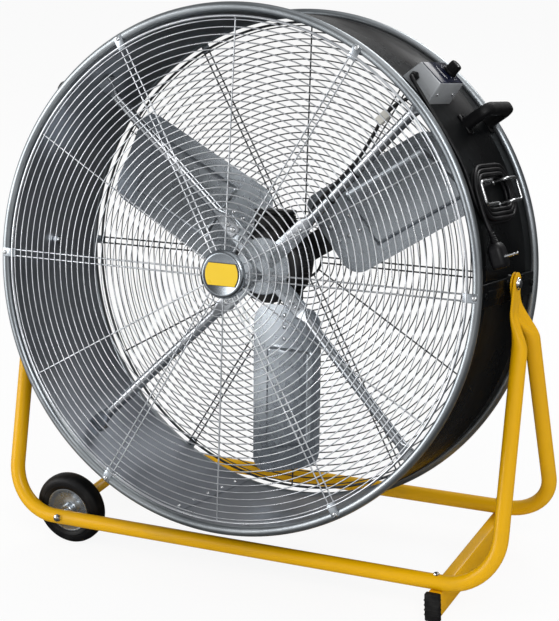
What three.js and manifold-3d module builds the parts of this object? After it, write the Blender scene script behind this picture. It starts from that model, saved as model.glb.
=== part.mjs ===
// A tilting drum fan on a wheeled tube stand. Millimetres, +Z up, +X to the right, air leaves towards -Y.
// The origin lies on the floor, under the middle of the drum.
// The drum, with its guards, motor and impeller, turns on the pivot bolts; the stand carries them.

import * as THREE from 'three';
import { mergeVertices } from 'three/addons/utils/BufferGeometryUtils.js';
import Module from 'manifold-3d';

const wasm = await Module();
wasm.setup();

// ---- Driving dimensions ----------------------------------------------------------------------

const GAP = 0.3;                    // clearance between pieces that touch

// Stand
const TUBE_R = 15;                  // 30 mm steel tube
const FRAME_CRANK = 16.9;           // tube centre outside its own flattened end, along X
const FRAME_SPREAD = 177;           // tube centre to the middle, along Y, at the floor bars
const FRAME_BEND_R = 100;
const LEG_RISE = 538;               // floor bars' centre up to the pivot axis
const STRIP_HALF_WIDTH = 21;        // the tube's flattened end
const STRIP_HALF_THICK = 2.5;
const STRIP_LENGTH = 50;            // flat length below the pivot axis
const STRIP_TAPER = 72;             // length over which the tube turns round again
const BAR_WIDTH = 25;               // rectangular floor bar under the tubes, on the right
const BAR_HEIGHT = 50;
const BAR_WALL = 2;
const BAR_INSET = 115;              // bar's centre inside the tube's
const BAR_OVERHANG = 23;            // bar's end beyond the middle of the tube on it
const CAP_WALL = 2;                 // rubber foot on each end of that bar
const CAP_SOLE = 5;
const CAP_REACH = 7;                // how far it covers the bar
const CAP_FACE = 6;
const BAR_SCREW_R = 3;
const BAR_SCREW_HEAD_R = 6;

// Wheels
const WHEEL_R = 75;
const WHEEL_SIDES = 20;
const TYRE_WIDTH = 40;
const RIM_R = 47;
const NAVE_R = 13;
const NAVE_LENGTH = 44;
const WHEEL_INSET = 117;            // axle inside the tube's centre
const WHEEL_SIDE_GAP = 2.5;         // nave to frame tube
const AXLE_R = 5;
const AXLE_NUT_R = 8;
const AXLE_NUT_LENGTH = 8;
const AXLE_TUBE_R = 11;
const RUNNING_GAP = 0.4;            // wheel bore round the axle

// Drum
const TILT = THREE.MathUtils.degToRad(11.4);   // front raised, as it stands
const PIVOT_RISE = 12;              // pivot axis above the drum's own axis
const RIM_BEAD_R = 9;               // rolled bead, section radius
const RIM_BEAD_SIDES = 6;
const RIM_STAND = 3;                // bead's centre outside the shell
const DRUM_DEPTH = 325;             // between the centres of the two beads
const SHELL_R = 488;
const SHELL_WALL = 3;
const DRUM_SIDES = 48;
const PIVOT_BOLT_R = 5;
const PIVOT_HEAD_R = 9;
const PIVOT_HEAD_LENGTH = 7;
const PIVOT_NUT_R = 9.5;
const PIVOT_NUT_LENGTH = 9;
const PIVOT_PLATE_GAP = 9.7;        // stiffening plate on the drum's side, from its ends to the beads
const PIVOT_PLATE_HEIGHT = 44;
const PIVOT_PLATE_THICK = 8;
const BOSS_R = 15;                  // boss between the plate and the stand
const BOSS_LENGTH = 6;

// Guards
const GUARD_EDGE_GAP = 8;           // outermost ring inside the bead
const GUARD_HUB_R = 40;             // innermost ring
const GUARD_RINGS = 7;
const GUARD_SPOKES = 12;
const GUARD_SIDES = 24;
const GUARD_RISE = 9;               // how far the middle stands out
const GUARD_WIRE = 4;               // width and depth of a ring or spoke
const CLIP_COUNT = 6;
const CLIP_WIDTH = 20;
const CLIP_GRIP = 6;                // how far a clip reaches over the outermost ring
const CLIP_EDGE = 4;                // and over the middle of the bead
const CLIP_THICK = 2;
const CLIP_SCREW_R = 4.5;
const CLIP_SCREW_HEAD = 3;
const BADGE_R = 46;
const BADGE_THICK = 8;
const LABEL_WIDTH = 64;
const LABEL_HEIGHT = 44;
const LABEL_THICK = 1;

// Motor and struts
const MOTOR_R = 74;
const MOTOR_FRONT = -8;             // along the drum's axis
const MOTOR_LENGTH = 86;
const SHAFT_R = 12;
const SHAFT_LENGTH = 120;
const SHAFT_END = 6;                // how far it stands out of the hub
const BRACKET_ARM = 118;            // cross-shaped bracket on the motor's front
const BRACKET_WIDTH = 34;
const BRACKET_THICK = 5;
const STRUT_R = 10;
const STRUT_WALL_Y = -65;           // where the struts meet the drum's wall
const STRUT_FLAT = 34;              // flattened length at each end
const STRUT_FOOT = 30;
const STRUT_ANGLES = [135, 45, -43, -134];
const TERMINAL_SIZE = [70, 46, 34]; // along X, Y and Z
const LEAD_R = 4;

// Impeller
const BLADE_COUNT = 3;
const BLADE_PHASE = 32;             // degrees, one blade's middle above +X
const BLADE_PITCH = 18.6;
const BLADE_ROOT = 92;
const BLADE_TIP_GAP = 35;           // leading corner to the shell
const BLADE_TIP_SLANT = 45;         // how much shorter the other corner is
const BLADE_ROOT_CHORD = 186;
const BLADE_TIP_CHORD = 184;
const BLADE_CORNER = 40;
const BLADE_CAMBER = 12;
const BLADE_THICK = 3;
const BLADE_MIDDLE_Y = 110;
const HUB_R = 46;
const HUB_LENGTH = 40;
const ARM_REACH = 172;
const ARM_WIDTH = 52;
const ARM_THICK = 6;

// Control box on the drum
const BOX_ANGLE = 46.7;
const BOX_BASE = 69;                // along the drum's curve
const BOX_TOP = 55;
const BOX_HEIGHT = 43;
const BOX_FRONT = -112;
const BOX_LENGTH = 117;
const BOX_WALL = 2;
const PANEL_MARGIN = 2;
const PANEL_THICK = 1.2;
const KNOB_R = 14;
const KNOB_HEIGHT = 21;
const KNOB_Y = -24;
const KNOB_LIFT = 1.2;              // knob's skirt above the panel
const KNOB_SPINDLE_R = 3;
const GLAND_R = 9;
const GLAND_LENGTH = 12;
const GLAND_LEVEL = 17;             // above the drum
const GLAND_OFFSET = 17;            // up from the box's middle line

// Handles
const HANDLE_ANGLES = { right: 37, left: 143 };
const HANDLE_MIDDLE = { right: 70, left: -12 };
const HANDLE_LENGTH = 146;
const HANDLE_STAND = 52;            // grip's centre above the drum
const HANDLE_R = 12;

// Mains lead: a bundle wound round two wire hooks
const CORD_R = 3.8;
const COIL_ANGLE = 20.7;
const COIL_Y = -28;
const COIL_HALF_LENGTH = 98;        // outermost turn's centre line
const COIL_HALF_WIDTH = 53;
const COIL_TURNS = 6;
const COIL_PITCH = 8.2;
const COIL_STEPS = 24;              // a turn
const COIL_SIDES = 6;
const COIL_LIFT = 0.9;              // lowest turn above the drum
const HOOK_R = 3;
const HOOK_HALF_WIDTH = 21;
const HOOK_POST = 40;               // posts, from the bundle's middle
const HOOK_LIP = { front: 104, rear: 92 };
const HOOK_LEVEL = 27;              // lips' centre above the drum
const PLUG_SIZE = [30, 40, 46];     // off the drum, along the drum's axis, down the lead
const PLUG_LIFT = 3;
const PLUG_DROP = 112;              // below the bundle's middle line
const PIN_R = 2.4;
const PIN_LENGTH = 19;
const PIN_SPACING = 19;

// ---- Sizes that follow -----------------------------------------------------------------------

const barTop = CAP_SOLE + BAR_HEIGHT;
const barHalfLength = FRAME_SPREAD + BAR_OVERHANG;
const tubeZ = barTop + GAP + TUBE_R;
const pivotZ = tubeZ + LEG_RISE;
const beadCentreR = SHELL_R + RIM_STAND;
const beadY = DRUM_DEPTH / 2;
const beadHalfDepth = RIM_BEAD_R * Math.cos(Math.PI / RIM_BEAD_SIDES);
const beadFace = beadY + beadHalfDepth;
const plateHalfLength = beadY - beadHalfDepth - PIVOT_PLATE_GAP;
const shellHalf = beadY - beadHalfDepth - GAP;
const shellInner = SHELL_R - SHELL_WALL;
const plateFace = SHELL_R + PIVOT_PLATE_THICK;
const bossFace = plateFace + BOSS_LENGTH;
const stripInnerX = bossFace + GAP + STRIP_HALF_THICK;
const stripOuterX = stripInnerX + 2 * STRIP_HALF_THICK + GAP;
const frameHalfWidth = stripOuterX + FRAME_CRANK;
const barX = frameHalfWidth - BAR_INSET;
const wheelX = WHEEL_INSET - frameHalfWidth;
const guardR = beadCentreR - RIM_BEAD_R - GUARD_EDGE_GAP;
const bladeTip = shellInner - BLADE_TIP_GAP;
const guardOuterY = beadFace - GUARD_WIRE;
const badgeBack = guardY(GUARD_HUB_R) + GUARD_WIRE + GAP;
const motorBack = MOTOR_FRONT + MOTOR_LENGTH;
const hubBack = BLADE_MIDDLE_Y + HUB_LENGTH / 2;
const shaftBack = hubBack + SHAFT_END;
const shaftFront = shaftBack - SHAFT_LENGTH;
const wheelY = FRAME_SPREAD - TUBE_R - WHEEL_SIDE_GAP - NAVE_LENGTH / 2;
const boxTop = SHELL_R + BOX_HEIGHT;
const degrees = THREE.MathUtils.degToRad;

// ---- Finishes --------------------------------------------------------------------------------

function finish(color, metalness, roughness) {
  return new THREE.MeshStandardMaterial({ color, metalness, roughness });
}

const yellowPaint = finish(0xe0a510, 0.0, 0.35);
const blackPaint = finish(0x16181a, 0.1, 0.45);
const galvanised = finish(0x9aa4ae, 0.9, 0.35);
const chrome = finish(0xd8dce0, 1.0, 0.15);
const blackPlastic = finish(0x111213, 0.0, 0.5);
const rubber = finish(0x1b1b1c, 0.0, 0.85);
const boxPaint = finish(0xb4babf, 0.5, 0.4);
const motorPaint = finish(0x3a3b3d, 0.4, 0.5);
const panelPlastic = finish(0x14161c, 0.0, 0.1);
const labelYellow = finish(0xe6bf10, 0.0, 0.4);

// ---- Shape tools -----------------------------------------------------------------------------

function vector(x, y, z) {
  return new THREE.Vector3(x, y, z);
}

// Merges a closed geometry's shared corners and turns it the right way out.
function closed(geometry) {
  const bare = geometry.index ? geometry.clone() : geometry;
  bare.deleteAttribute('normal');
  bare.deleteAttribute('uv');
  const merged = mergeVertices(bare, 1e-4);
  const index = merged.index.array;
  const corner = [vector(0, 0, 0), vector(0, 0, 0), vector(0, 0, 0)];
  const kept = [];
  let volume = 0;
  for (let i = 0; i < index.length; i += 3) {
    const face = [index[i], index[i + 1], index[i + 2]];
    if (face[0] === face[1] || face[1] === face[2] || face[0] === face[2]) continue;
    kept.push(face);
    corner.forEach((point, k) => point.fromBufferAttribute(merged.attributes.position, face[k]));
    volume += corner[0].dot(corner[1].clone().cross(corner[2]));
  }
  const turned = volume < 0 ? kept.map(([a, b, c]) => [a, c, b]) : kept;
  merged.setIndex(turned.flat());
  return merged;
}

function solid(geometry) {
  const shape = closed(geometry);
  return new wasm.Manifold(new wasm.Mesh({
    numProp: 3,
    vertProperties: new Float32Array(shape.attributes.position.array),
    triVerts: new Uint32Array(shape.index.array),
  }));
}

function fromSolid(body) {
  const mesh = body.getMesh();
  const geometry = new THREE.BufferGeometry();
  geometry.setAttribute('position', new THREE.BufferAttribute(new Float32Array(mesh.vertProperties), 3));
  geometry.setIndex(new THREE.BufferAttribute(new Uint32Array(mesh.triVerts), 1));
  return geometry;
}

function join(...geometries) {
  return fromSolid(geometries.map(solid).reduce((sum, next) => sum.add(next)));
}

function cut(geometry, ...tools) {
  return fromSolid(tools.map(solid).reduce((rest, tool) => rest.subtract(tool), solid(geometry)));
}

function common(first, second) {
  return fromSolid(solid(first).intersect(solid(second)));
}

// A box from its lowest to its highest corner.
function box(x0, x1, y0, y1, z0, z1) {
  const shape = new THREE.BoxGeometry(x1 - x0, y1 - y0, z1 - z0);
  return shape.translate((x0 + x1) / 2, (y0 + y1) / 2, (z0 + z1) / 2);
}

function rodY(radius, from, to, sides = 20) {
  return new THREE.CylinderGeometry(radius, radius, to - from, sides).translate(0, (from + to) / 2, 0);
}

function rodX(radius, from, to, sides = 20) {
  return rodY(radius, from, to, sides).rotateZ(-Math.PI / 2);
}

function rodZ(radius, from, to, sides = 20) {
  return rodY(radius, from, to, sides).rotateX(Math.PI / 2);
}

// Turns a profile of [radius, y] corners round the Y axis.
function turned(profile, sides) {
  return closed(new THREE.LatheGeometry(profile.map(([r, y]) => new THREE.Vector2(r, y)), sides));
}

function hollowRodY(outer, inner, from, to, sides = 24) {
  return turned([[inner, from], [outer, from], [outer, to], [inner, to], [inner, from]], sides);
}

// A domed screw head: its flat side at y = 0, its crown at y = height.
function domeY(radius, height, sides = 10) {
  const rounds = 3;
  const profile = [[0, 0]];
  for (let i = 0; i <= rounds; i += 1) {
    const angle = (i / rounds) * Math.PI / 2;
    profile.push([i === rounds ? 0 : radius * Math.cos(angle), 0.3 * height + 0.7 * height * Math.sin(angle)]);
  }
  profile.splice(1, 0, [radius, 0]);
  return turned(profile, sides);
}

// Joins rings of corners, all with the same count, into one closed skin.
function loft(rings) {
  const count = rings[0].length;
  const points = rings.flat();
  const faces = [];
  for (let i = 0; i + 1 < rings.length; i += 1) {
    for (let k = 0; k < count; k += 1) {
      const a = i * count + k;
      const b = i * count + (k + 1) % count;
      faces.push(a, b, a + count, b, b + count, a + count);
    }
  }
  const last = (rings.length - 1) * count;
  for (let k = 1; k + 1 < count; k += 1) {
    faces.push(0, k + 1, k, last, last + k, last + k + 1);
  }
  const geometry = new THREE.BufferGeometry().setFromPoints(points);
  geometry.setIndex(faces);
  return closed(geometry);
}

// An oval ring round a centre, on two directions; a low power squares it off.
function oval(centre, first, second, halfFirst, halfSecond, power, sides) {
  const shaped = (value) => Math.sign(value) * Math.abs(value) ** power;
  return Array.from({ length: sides }, (_, k) => {
    const angle = ((k + 0.5) / sides) * 2 * Math.PI;
    return centre.clone()
      .addScaledVector(first, halfFirst * shaped(Math.cos(angle)))
      .addScaledVector(second, halfSecond * shaped(Math.sin(angle)));
  });
}

// A path of straight runs with its corners rounded off.
function roundedPath(corners, radius) {
  const path = new THREE.CurvePath();
  let from = corners[0];
  for (let i = 1; i + 1 < corners.length; i += 1) {
    const corner = corners[i];
    const before = corner.clone().addScaledVector(from.clone().sub(corner).normalize(), radius);
    const after = corner.clone().addScaledVector(corners[i + 1].clone().sub(corner).normalize(), radius);
    path.add(new THREE.LineCurve3(from, before));
    path.add(new THREE.QuadraticBezierCurve3(before, corner, after));
    from = after;
  }
  path.add(new THREE.LineCurve3(from, corners.at(-1)));
  return path;
}

function tube(path, radius, steps, sides = 8) {
  const section = new THREE.Shape(Array.from({ length: sides }, (_, k) => {
    const angle = (k / sides) * 2 * Math.PI;
    return new THREE.Vector2(radius * Math.cos(angle), radius * Math.sin(angle));
  }));
  return closed(new THREE.ExtrudeGeometry(section, { steps, bevelEnabled: false, extrudePath: path }));
}

// ---- The scene's groups ----------------------------------------------------------------------

const fan = new THREE.Group();
const stand = new THREE.Group();
const pivot = new THREE.Group();
const drum = new THREE.Group();
pivot.position.z = pivotZ;
pivot.rotation.x = -TILT;
drum.position.z = -PIVOT_RISE;
pivot.add(drum);
const assembly = new THREE.Group();
assembly.position.y = PIVOT_RISE * Math.sin(TILT);   // brings the drum's middle over the origin
assembly.add(stand, pivot);
fan.add(assembly);

function piece(parent, name, geometry, material) {
  const mesh = new THREE.Mesh(closed(geometry), material);
  mesh.name = name;
  parent.add(mesh);
  return mesh;
}

// A place on the drum's side: local X points off the drum, Z up its curve, Y along its axis.
function station(angle) {
  const place = new THREE.Group();
  place.rotation.y = -degrees(angle);
  drum.add(place);
  return place;
}

// ---- Stand: two bent tubes, flattened where they meet at the pivots ---------------------------

function frameTube(side, stripX) {
  const legLength = Math.hypot(FRAME_SPREAD, LEG_RISE);
  const down = vector(0, side * FRAME_SPREAD, -LEG_RISE).divideScalar(legLength);
  const normal = vector(1, 0, 0).cross(down);
  const stations = [];
  for (const angle of [80, 55, 28]) {
    stations.push([stripX, -STRIP_HALF_WIDTH * Math.sin(degrees(angle)), STRIP_HALF_THICK,
      STRIP_HALF_WIDTH * Math.cos(degrees(angle)), 0.5, 0]);
  }
  stations.push([stripX, 0, STRIP_HALF_THICK, STRIP_HALF_WIDTH, 0.5, 0]);
  stations.push([stripX, STRIP_LENGTH - 12, STRIP_HALF_THICK, STRIP_HALF_WIDTH, 0.5, 0]);
  const taperSteps = 3;
  for (let i = 0; i <= taperSteps; i += 1) {
    const share = i / taperSteps;
    const mix = THREE.MathUtils.lerp;
    stations.push([mix(stripX, frameHalfWidth, share), STRIP_LENGTH + share * STRIP_TAPER,
      mix(STRIP_HALF_THICK, TUBE_R, share), mix(STRIP_HALF_WIDTH, TUBE_R, share), 1, 0]);
  }
  const bendSteps = 5;
  for (let i = 0; i <= bendSteps; i += 1) {
    const angle = (i / bendSteps) * Math.PI / 2;
    stations.push([frameHalfWidth - FRAME_BEND_R * (1 - Math.cos(angle)),
      legLength - FRAME_BEND_R * (1 - Math.sin(angle)), TUBE_R, TUBE_R, 1, angle]);
  }
  const ring = ([x, along, halfThick, halfWide, power, turn], mirror) => {
    const centre = vector(mirror * x, 0, pivotZ).addScaledVector(down, along);
    const outward = vector(mirror * Math.cos(turn), 0, 0).addScaledVector(down, Math.sin(turn));
    return oval(centre, outward, normal, halfThick, halfWide, power, 8);
  };
  const right = stations.map((entry) => ring(entry, 1));
  const left = stations.map((entry) => ring(entry, -1)).reverse();
  const shape = loft([...right, ...left]);
  const tubeY = side * FRAME_SPREAD;
  const reach = frameHalfWidth + TUBE_R;
  return cut(shape,
    rodX(PIVOT_BOLT_R + GAP, -reach, reach).translate(0, 0, pivotZ),
    rodY(AXLE_R + GAP, tubeY - 2 * TUBE_R, tubeY + 2 * TUBE_R).translate(wheelX, 0, WHEEL_R),
    rodZ(BAR_SCREW_R + GAP, tubeZ - 2 * TUBE_R, tubeZ + 2 * TUBE_R).translate(barX, tubeY, 0));
}

piece(stand, 'front_frame_tube', frameTube(-1, stripOuterX), yellowPaint);
piece(stand, 'rear_frame_tube', frameTube(1, stripInnerX), yellowPaint);

// ---- Stand: the rectangular floor bar with its rubber feet and screws -------------------------

function floorBar() {
  const half = BAR_WIDTH / 2;
  const outer = box(barX - half, barX + half, -barHalfLength, barHalfLength, CAP_SOLE, barTop);
  const bore = box(barX - half + BAR_WALL, barX + half - BAR_WALL,
    -barHalfLength - 1, barHalfLength + 1, CAP_SOLE + BAR_WALL, barTop - BAR_WALL);
  const holes = [-1, 1].map((side) => rodZ(BAR_SCREW_R + GAP, barTop - 2 * BAR_WALL, barTop + 1)
    .translate(barX, side * FRAME_SPREAD, 0));
  return cut(outer, bore, ...holes);
}

function footCap(side) {
  const half = BAR_WIDTH / 2 + GAP;
  const outerEnd = barHalfLength + GAP + CAP_FACE;
  const shell = box(barX - half - CAP_WALL, barX + half + CAP_WALL,
    barHalfLength - CAP_REACH, outerEnd, 0, barTop + GAP + CAP_WALL);
  const pocket = box(barX - half, barX + half, 0, barHalfLength + GAP, CAP_SOLE - GAP, barTop + GAP);
  const cap = cut(shell, pocket);
  return side > 0 ? cap : cap.scale(1, -1, 1);
}

// A screw from the tube's top down through the bar's upper wall.
function barScrew(side) {
  const headZ = tubeZ + TUBE_R + GAP;
  const shank = rodZ(BAR_SCREW_R, barTop - 2 * BAR_WALL - 4, headZ + 1, 12);
  const head = domeY(BAR_SCREW_HEAD_R, 5).rotateX(Math.PI / 2).translate(0, 0, headZ);
  return join(shank, head).translate(barX, side * FRAME_SPREAD, 0);
}

piece(stand, 'floor_bar', floorBar(), yellowPaint);
for (const [place, side] of [['front', -1], ['rear', 1]]) {
  piece(stand, `foot_cap_${place}`, footCap(side), rubber);
  piece(stand, `bar_screw_${place}`, barScrew(side), chrome);
}

// ---- Stand: axle, its spacer tube and the two wheels ------------------------------------------

const axleEnd = FRAME_SPREAD + TUBE_R;
const naveInner = wheelY - NAVE_LENGTH / 2;

// The rod with the domed nuts run up tight on its two ends.
function axleRod() {
  const rear = domeY(AXLE_NUT_R, AXLE_NUT_LENGTH, 12).translate(0, axleEnd + GAP, 0);
  return join(rodY(AXLE_R, -axleEnd - 1, axleEnd + 1, 16), rear, rear.clone().rotateZ(Math.PI));
}

const axleGroup = new THREE.Group();
axleGroup.position.set(wheelX, 0, WHEEL_R);
stand.add(axleGroup);
piece(axleGroup, 'axle_rod', axleRod(), chrome);
piece(axleGroup, 'axle_tube', hollowRodY(AXLE_TUBE_R, AXLE_R + GAP, -naveInner + GAP, naveInner - GAP), yellowPaint);

function tyre() {
  const half = TYRE_WIDTH / 2;
  const shoulder = 14;
  const profile = [[RIM_R, -half + 4], [RIM_R + 8, -half], [WHEEL_R - shoulder, -half]];
  for (const angle of [45, 90]) {
    profile.push([WHEEL_R - shoulder + shoulder * Math.sin(degrees(angle)),
      -half + shoulder - shoulder * Math.cos(degrees(angle))]);
  }
  const mirrored = profile.map(([r, y]) => [r, -y]).reverse();
  return turned([...profile, ...mirrored, profile[0]], WHEEL_SIDES);
}

function wheelRim() {
  const bore = AXLE_R + RUNNING_GAP;
  const half = TYRE_WIDTH / 2 - 6;
  const edge = RIM_R - GAP;
  const profile = [[bore, -NAVE_LENGTH / 2], [NAVE_R, -NAVE_LENGTH / 2], [NAVE_R + 3, -5], [edge - 8, -5],
    [edge - 3, -half], [edge, -half], [edge, half], [edge - 3, half], [edge - 8, 5], [NAVE_R + 3, 5],
    [NAVE_R, NAVE_LENGTH / 2], [bore, NAVE_LENGTH / 2], [bore, -NAVE_LENGTH / 2]];
  return turned(profile, WHEEL_SIDES);
}

for (const [place, side] of [['front', -1], ['rear', 1]]) {
  const wheel = new THREE.Group();
  wheel.position.y = side * wheelY;
  axleGroup.add(wheel);
  piece(wheel, `wheel_${place}_tyre`, tyre(), rubber);
  piece(wheel, `wheel_${place}_rim`, wheelRim(), galvanised);
}

// ---- Pivots: a bolt with its nut, and the bossed plate that stiffens the drum ------------------

const headX = stripOuterX + STRIP_HALF_THICK + GAP;
const nutFace = shellInner - 1.5;

function mirrored(geometry, side) {
  return side > 0 ? geometry : closed(geometry.scale(-1, 1, 1));
}

function pivotBolt() {
  const head = domeY(PIVOT_HEAD_R, PIVOT_HEAD_LENGTH, 12).rotateZ(-Math.PI / 2).translate(headX, 0, 0);
  const nut = rodX(PIVOT_NUT_R, nutFace - PIVOT_NUT_LENGTH, nutFace, 6);
  return join(rodX(PIVOT_BOLT_R, nutFace - PIVOT_NUT_LENGTH - 4, headX + 1, 16), nut, head);
}

function pivotPlate() {
  const half = PIVOT_PLATE_HEIGHT / 2;
  const plate = box(SHELL_R - 20, plateFace, -plateHalfLength, plateHalfLength, -half, half);
  const boss = rodX(BOSS_R, plateFace - 2, bossFace, 24).translate(0, 0, PIVOT_RISE);
  return cut(join(plate, boss), rodY(SHELL_R + GAP, -shellHalf, shellHalf, 180),
    rodX(PIVOT_BOLT_R + GAP, SHELL_R - 20, bossFace + 1).translate(0, 0, PIVOT_RISE));
}

const pivotLine = new THREE.Group();
pivotLine.position.z = pivotZ;
stand.add(pivotLine);
for (const [place, side] of [['right', 1], ['left', -1]]) {
  piece(pivotLine, `pivot_bolt_${place}`, mirrored(pivotBolt(), side), chrome);
  piece(drum, `pivot_plate_${place}`, mirrored(pivotPlate(), side), blackPaint);
}

// ---- Drum: sheet shell and the two rolled rims ------------------------------------------------

function drumShell() {
  const wall = hollowRodY(SHELL_R, shellInner, -shellHalf, shellHalf, DRUM_SIDES);
  const bolts = rodX(PIVOT_BOLT_R + GAP, -SHELL_R - 5, SHELL_R + 5, 16).translate(0, 0, PIVOT_RISE);
  const leadHole = rodX(LEAD_R + 3, shellInner - 20, SHELL_R + 5, 12).translate(0, leadHoleY, 0);
  return cut(wall, bolts, leadHole.rotateY(-degrees(BOX_ANGLE)));
}

function rimBead() {
  const profile = Array.from({ length: RIM_BEAD_SIDES }, (_, k) => {
    const angle = (k / RIM_BEAD_SIDES) * 2 * Math.PI;
    return [beadCentreR + RIM_BEAD_R * Math.cos(angle), RIM_BEAD_R * Math.sin(angle)];
  });
  return turned([...profile, profile[0]], DRUM_SIDES);
}

const leadHoleY = BOX_FRONT + 22;
piece(drum, 'drum_shell', drumShell(), blackPaint);
piece(drum, 'front_rim', rimBead().translate(0, -beadY, 0), galvanised);
piece(drum, 'rear_rim', rimBead().translate(0, beadY, 0), galvanised);

// ---- Guards: welded rings on spokes, clipped to the rims --------------------------------------

// Distance of a guard wire's back from the drum's middle, at a radius: the guard is a low cone.
function guardY(radius) {
  return guardOuterY + GUARD_RISE * (1 - radius / guardR);
}

// The gaps between rings and spokes are cut from a flat disc, which is then raised to its cone.
function guard() {
  const ringAt = (i) => GUARD_HUB_R + (guardR - GUARD_HUB_R) * (i / (GUARD_RINGS - 1));
  const arc = (Shape, radius, steps) => new Shape(Array.from({ length: steps }, (_, k) => {
    const angle = (k / steps) * 2 * Math.PI;
    return new THREE.Vector2(radius * Math.cos(angle), radius * Math.sin(angle));
  }));
  const half = GUARD_WIRE / 2;
  const outline = arc(THREE.Shape, guardR + half, GUARD_SIDES);
  outline.holes.push(arc(THREE.Path, GUARD_HUB_R - half, GUARD_SPOKES));
  const spokeStep = 2 * Math.PI / GUARD_SPOKES;
  const cornersPerGap = GUARD_SIDES / GUARD_SPOKES;
  for (let i = 0; i + 1 < GUARD_RINGS; i += 1) {
    for (let spoke = 0; spoke < GUARD_SPOKES; spoke += 1) {
      const edge = (radius) => Array.from({ length: cornersPerGap + 1 }, (_, k) => {
        const lead = k === 0 ? half / radius : 0;
        const trail = k === cornersPerGap ? half / radius : 0;
        const angle = (spoke + k / cornersPerGap) * spokeStep + lead - trail;
        return new THREE.Vector2(radius * Math.cos(angle), radius * Math.sin(angle));
      });
      const inner = edge(ringAt(i) + half);
      const outer = edge(ringAt(i + 1) - half).reverse();
      outline.holes.push(new THREE.Path([...inner, ...outer]));
    }
  }
  const net = new THREE.ExtrudeGeometry(outline, { depth: GUARD_WIRE, bevelEnabled: false, curveSegments: 1 });
  net.rotateX(-Math.PI / 2);
  const place = net.attributes.position;
  for (let i = 0; i < place.count; i += 1) {
    const radius = Math.hypot(place.getX(i), place.getZ(i));
    place.setY(i, place.getY(i) + guardY(radius));
  }
  return net;
}

// A strap over the guard's outer ring and the rim, with its screw.
function guardClip() {
  const inner = guardR - CLIP_GRIP;
  const outer = beadCentreR + CLIP_EDGE;
  const half = CLIP_WIDTH / 2;
  const strap = box(inner, outer, beadFace + GAP, beadFace + GAP + CLIP_THICK, -half, half);
  const screw = domeY(CLIP_SCREW_R, CLIP_SCREW_HEAD + 1, 8)
    .translate(beadCentreR, beadFace + GAP + CLIP_THICK - 1, 0);
  return join(strap, screw);
}

function badgeDisc() {
  const edge = 5;
  return turned([[0, badgeBack], [BADGE_R, badgeBack], [BADGE_R, badgeBack + BADGE_THICK - edge],
    [BADGE_R - edge, badgeBack + BADGE_THICK], [0, badgeBack + BADGE_THICK]], 32);
}

function badgeLabel() {
  const back = badgeBack + BADGE_THICK + GAP;
  return box(-LABEL_WIDTH / 2, LABEL_WIDTH / 2, back, back + LABEL_THICK, -LABEL_HEIGHT / 2, LABEL_HEIGHT / 2);
}

const front = new THREE.Group();
front.rotation.z = Math.PI;
drum.add(front);
for (const [place, parent] of [['front', front], ['rear', drum]]) {
  piece(parent, `${place}_guard`, guard(), place === 'front' ? chrome : galvanised);
  for (let i = 0; i < CLIP_COUNT; i += 1) {
    const clip = guardClip().rotateY((i / CLIP_COUNT) * 2 * Math.PI);
    piece(parent, `${place}_guard_clip_${i + 1}`, clip, chrome);
  }
}
piece(front, 'badge_disc', badgeDisc(), chrome);
piece(front, 'badge_label', badgeLabel(), labelYellow);

// ---- Motor, its bracket and the four struts ---------------------------------------------------

function motorBody() {
  const bell = 18;
  const bore = SHAFT_R + RUNNING_GAP;
  return turned([[0, MOTOR_FRONT], [MOTOR_R - 14, MOTOR_FRONT], [MOTOR_R, MOTOR_FRONT + bell],
    [MOTOR_R, motorBack - bell], [MOTOR_R - 14, motorBack], [bore, motorBack],
    [bore, shaftFront - GAP], [0, shaftFront - GAP]], 28);
}

const bracketFront = MOTOR_FRONT - GAP - BRACKET_THICK;

function motorBracket() {
  const half = BRACKET_WIDTH / 2;
  const arms = STRUT_ANGLES.map((angle) => box(-10, BRACKET_ARM, bracketFront, bracketFront + BRACKET_THICK,
    -half, half).rotateY(-degrees(angle)));
  const plate = rodY(MOTOR_R - 18, bracketFront, bracketFront + BRACKET_THICK, 24);
  return join(plate, ...arms);
}

// A tube with both ends flattened, and a foot turned flat against the drum's wall.
function strut() {
  const rootFace = bracketFront - GAP;
  const flatHalf = 2;
  const wide = 15;
  const rootY = rootFace - flatHalf;
  const from = BRACKET_ARM - STRUT_FLAT;
  const footFace = shellInner - GAP - 0.8;
  const to = footFace - 6;
  const tubeFrom = from + STRUT_FLAT + 26;
  const tubeTo = to - STRUT_FLAT;
  const level = (x) => THREE.MathUtils.mapLinear(x, tubeFrom, to, rootY, STRUT_WALL_Y);
  const along = vector(0, 1, 0);
  const across = vector(0, 0, 1);
  const ring = (x, y, halfThick, halfWide, power) => oval(vector(x, y, 0), along, across,
    halfThick, halfWide, power, 12);
  const body = loft([
    ring(from, rootY, flatHalf, wide, 0.5),
    ring(from + STRUT_FLAT, rootY, flatHalf, wide, 0.5),
    ring(tubeFrom, rootY, STRUT_R, STRUT_R, 1),
    ring(tubeTo, level(tubeTo), STRUT_R, STRUT_R, 1),
    ring(to - 8, level(to - 8), flatHalf, wide, 0.5),
    ring(to + 3, level(to + 3), flatHalf, wide, 0.5),
  ]);
  const footY = STRUT_WALL_Y;
  const foot = box(to, shellInner + 5, footY - flatHalf, footY - flatHalf + STRUT_FOOT, -wide, wide);
  const inside = rodY(footFace, -shellHalf, shellHalf, 180);
  const hollow = box(to - 1, footFace - 4, footY + flatHalf, footY + STRUT_FOOT + 5, -wide - 1, wide + 1);
  return join(body, cut(common(foot, inside), hollow));
}

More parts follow.
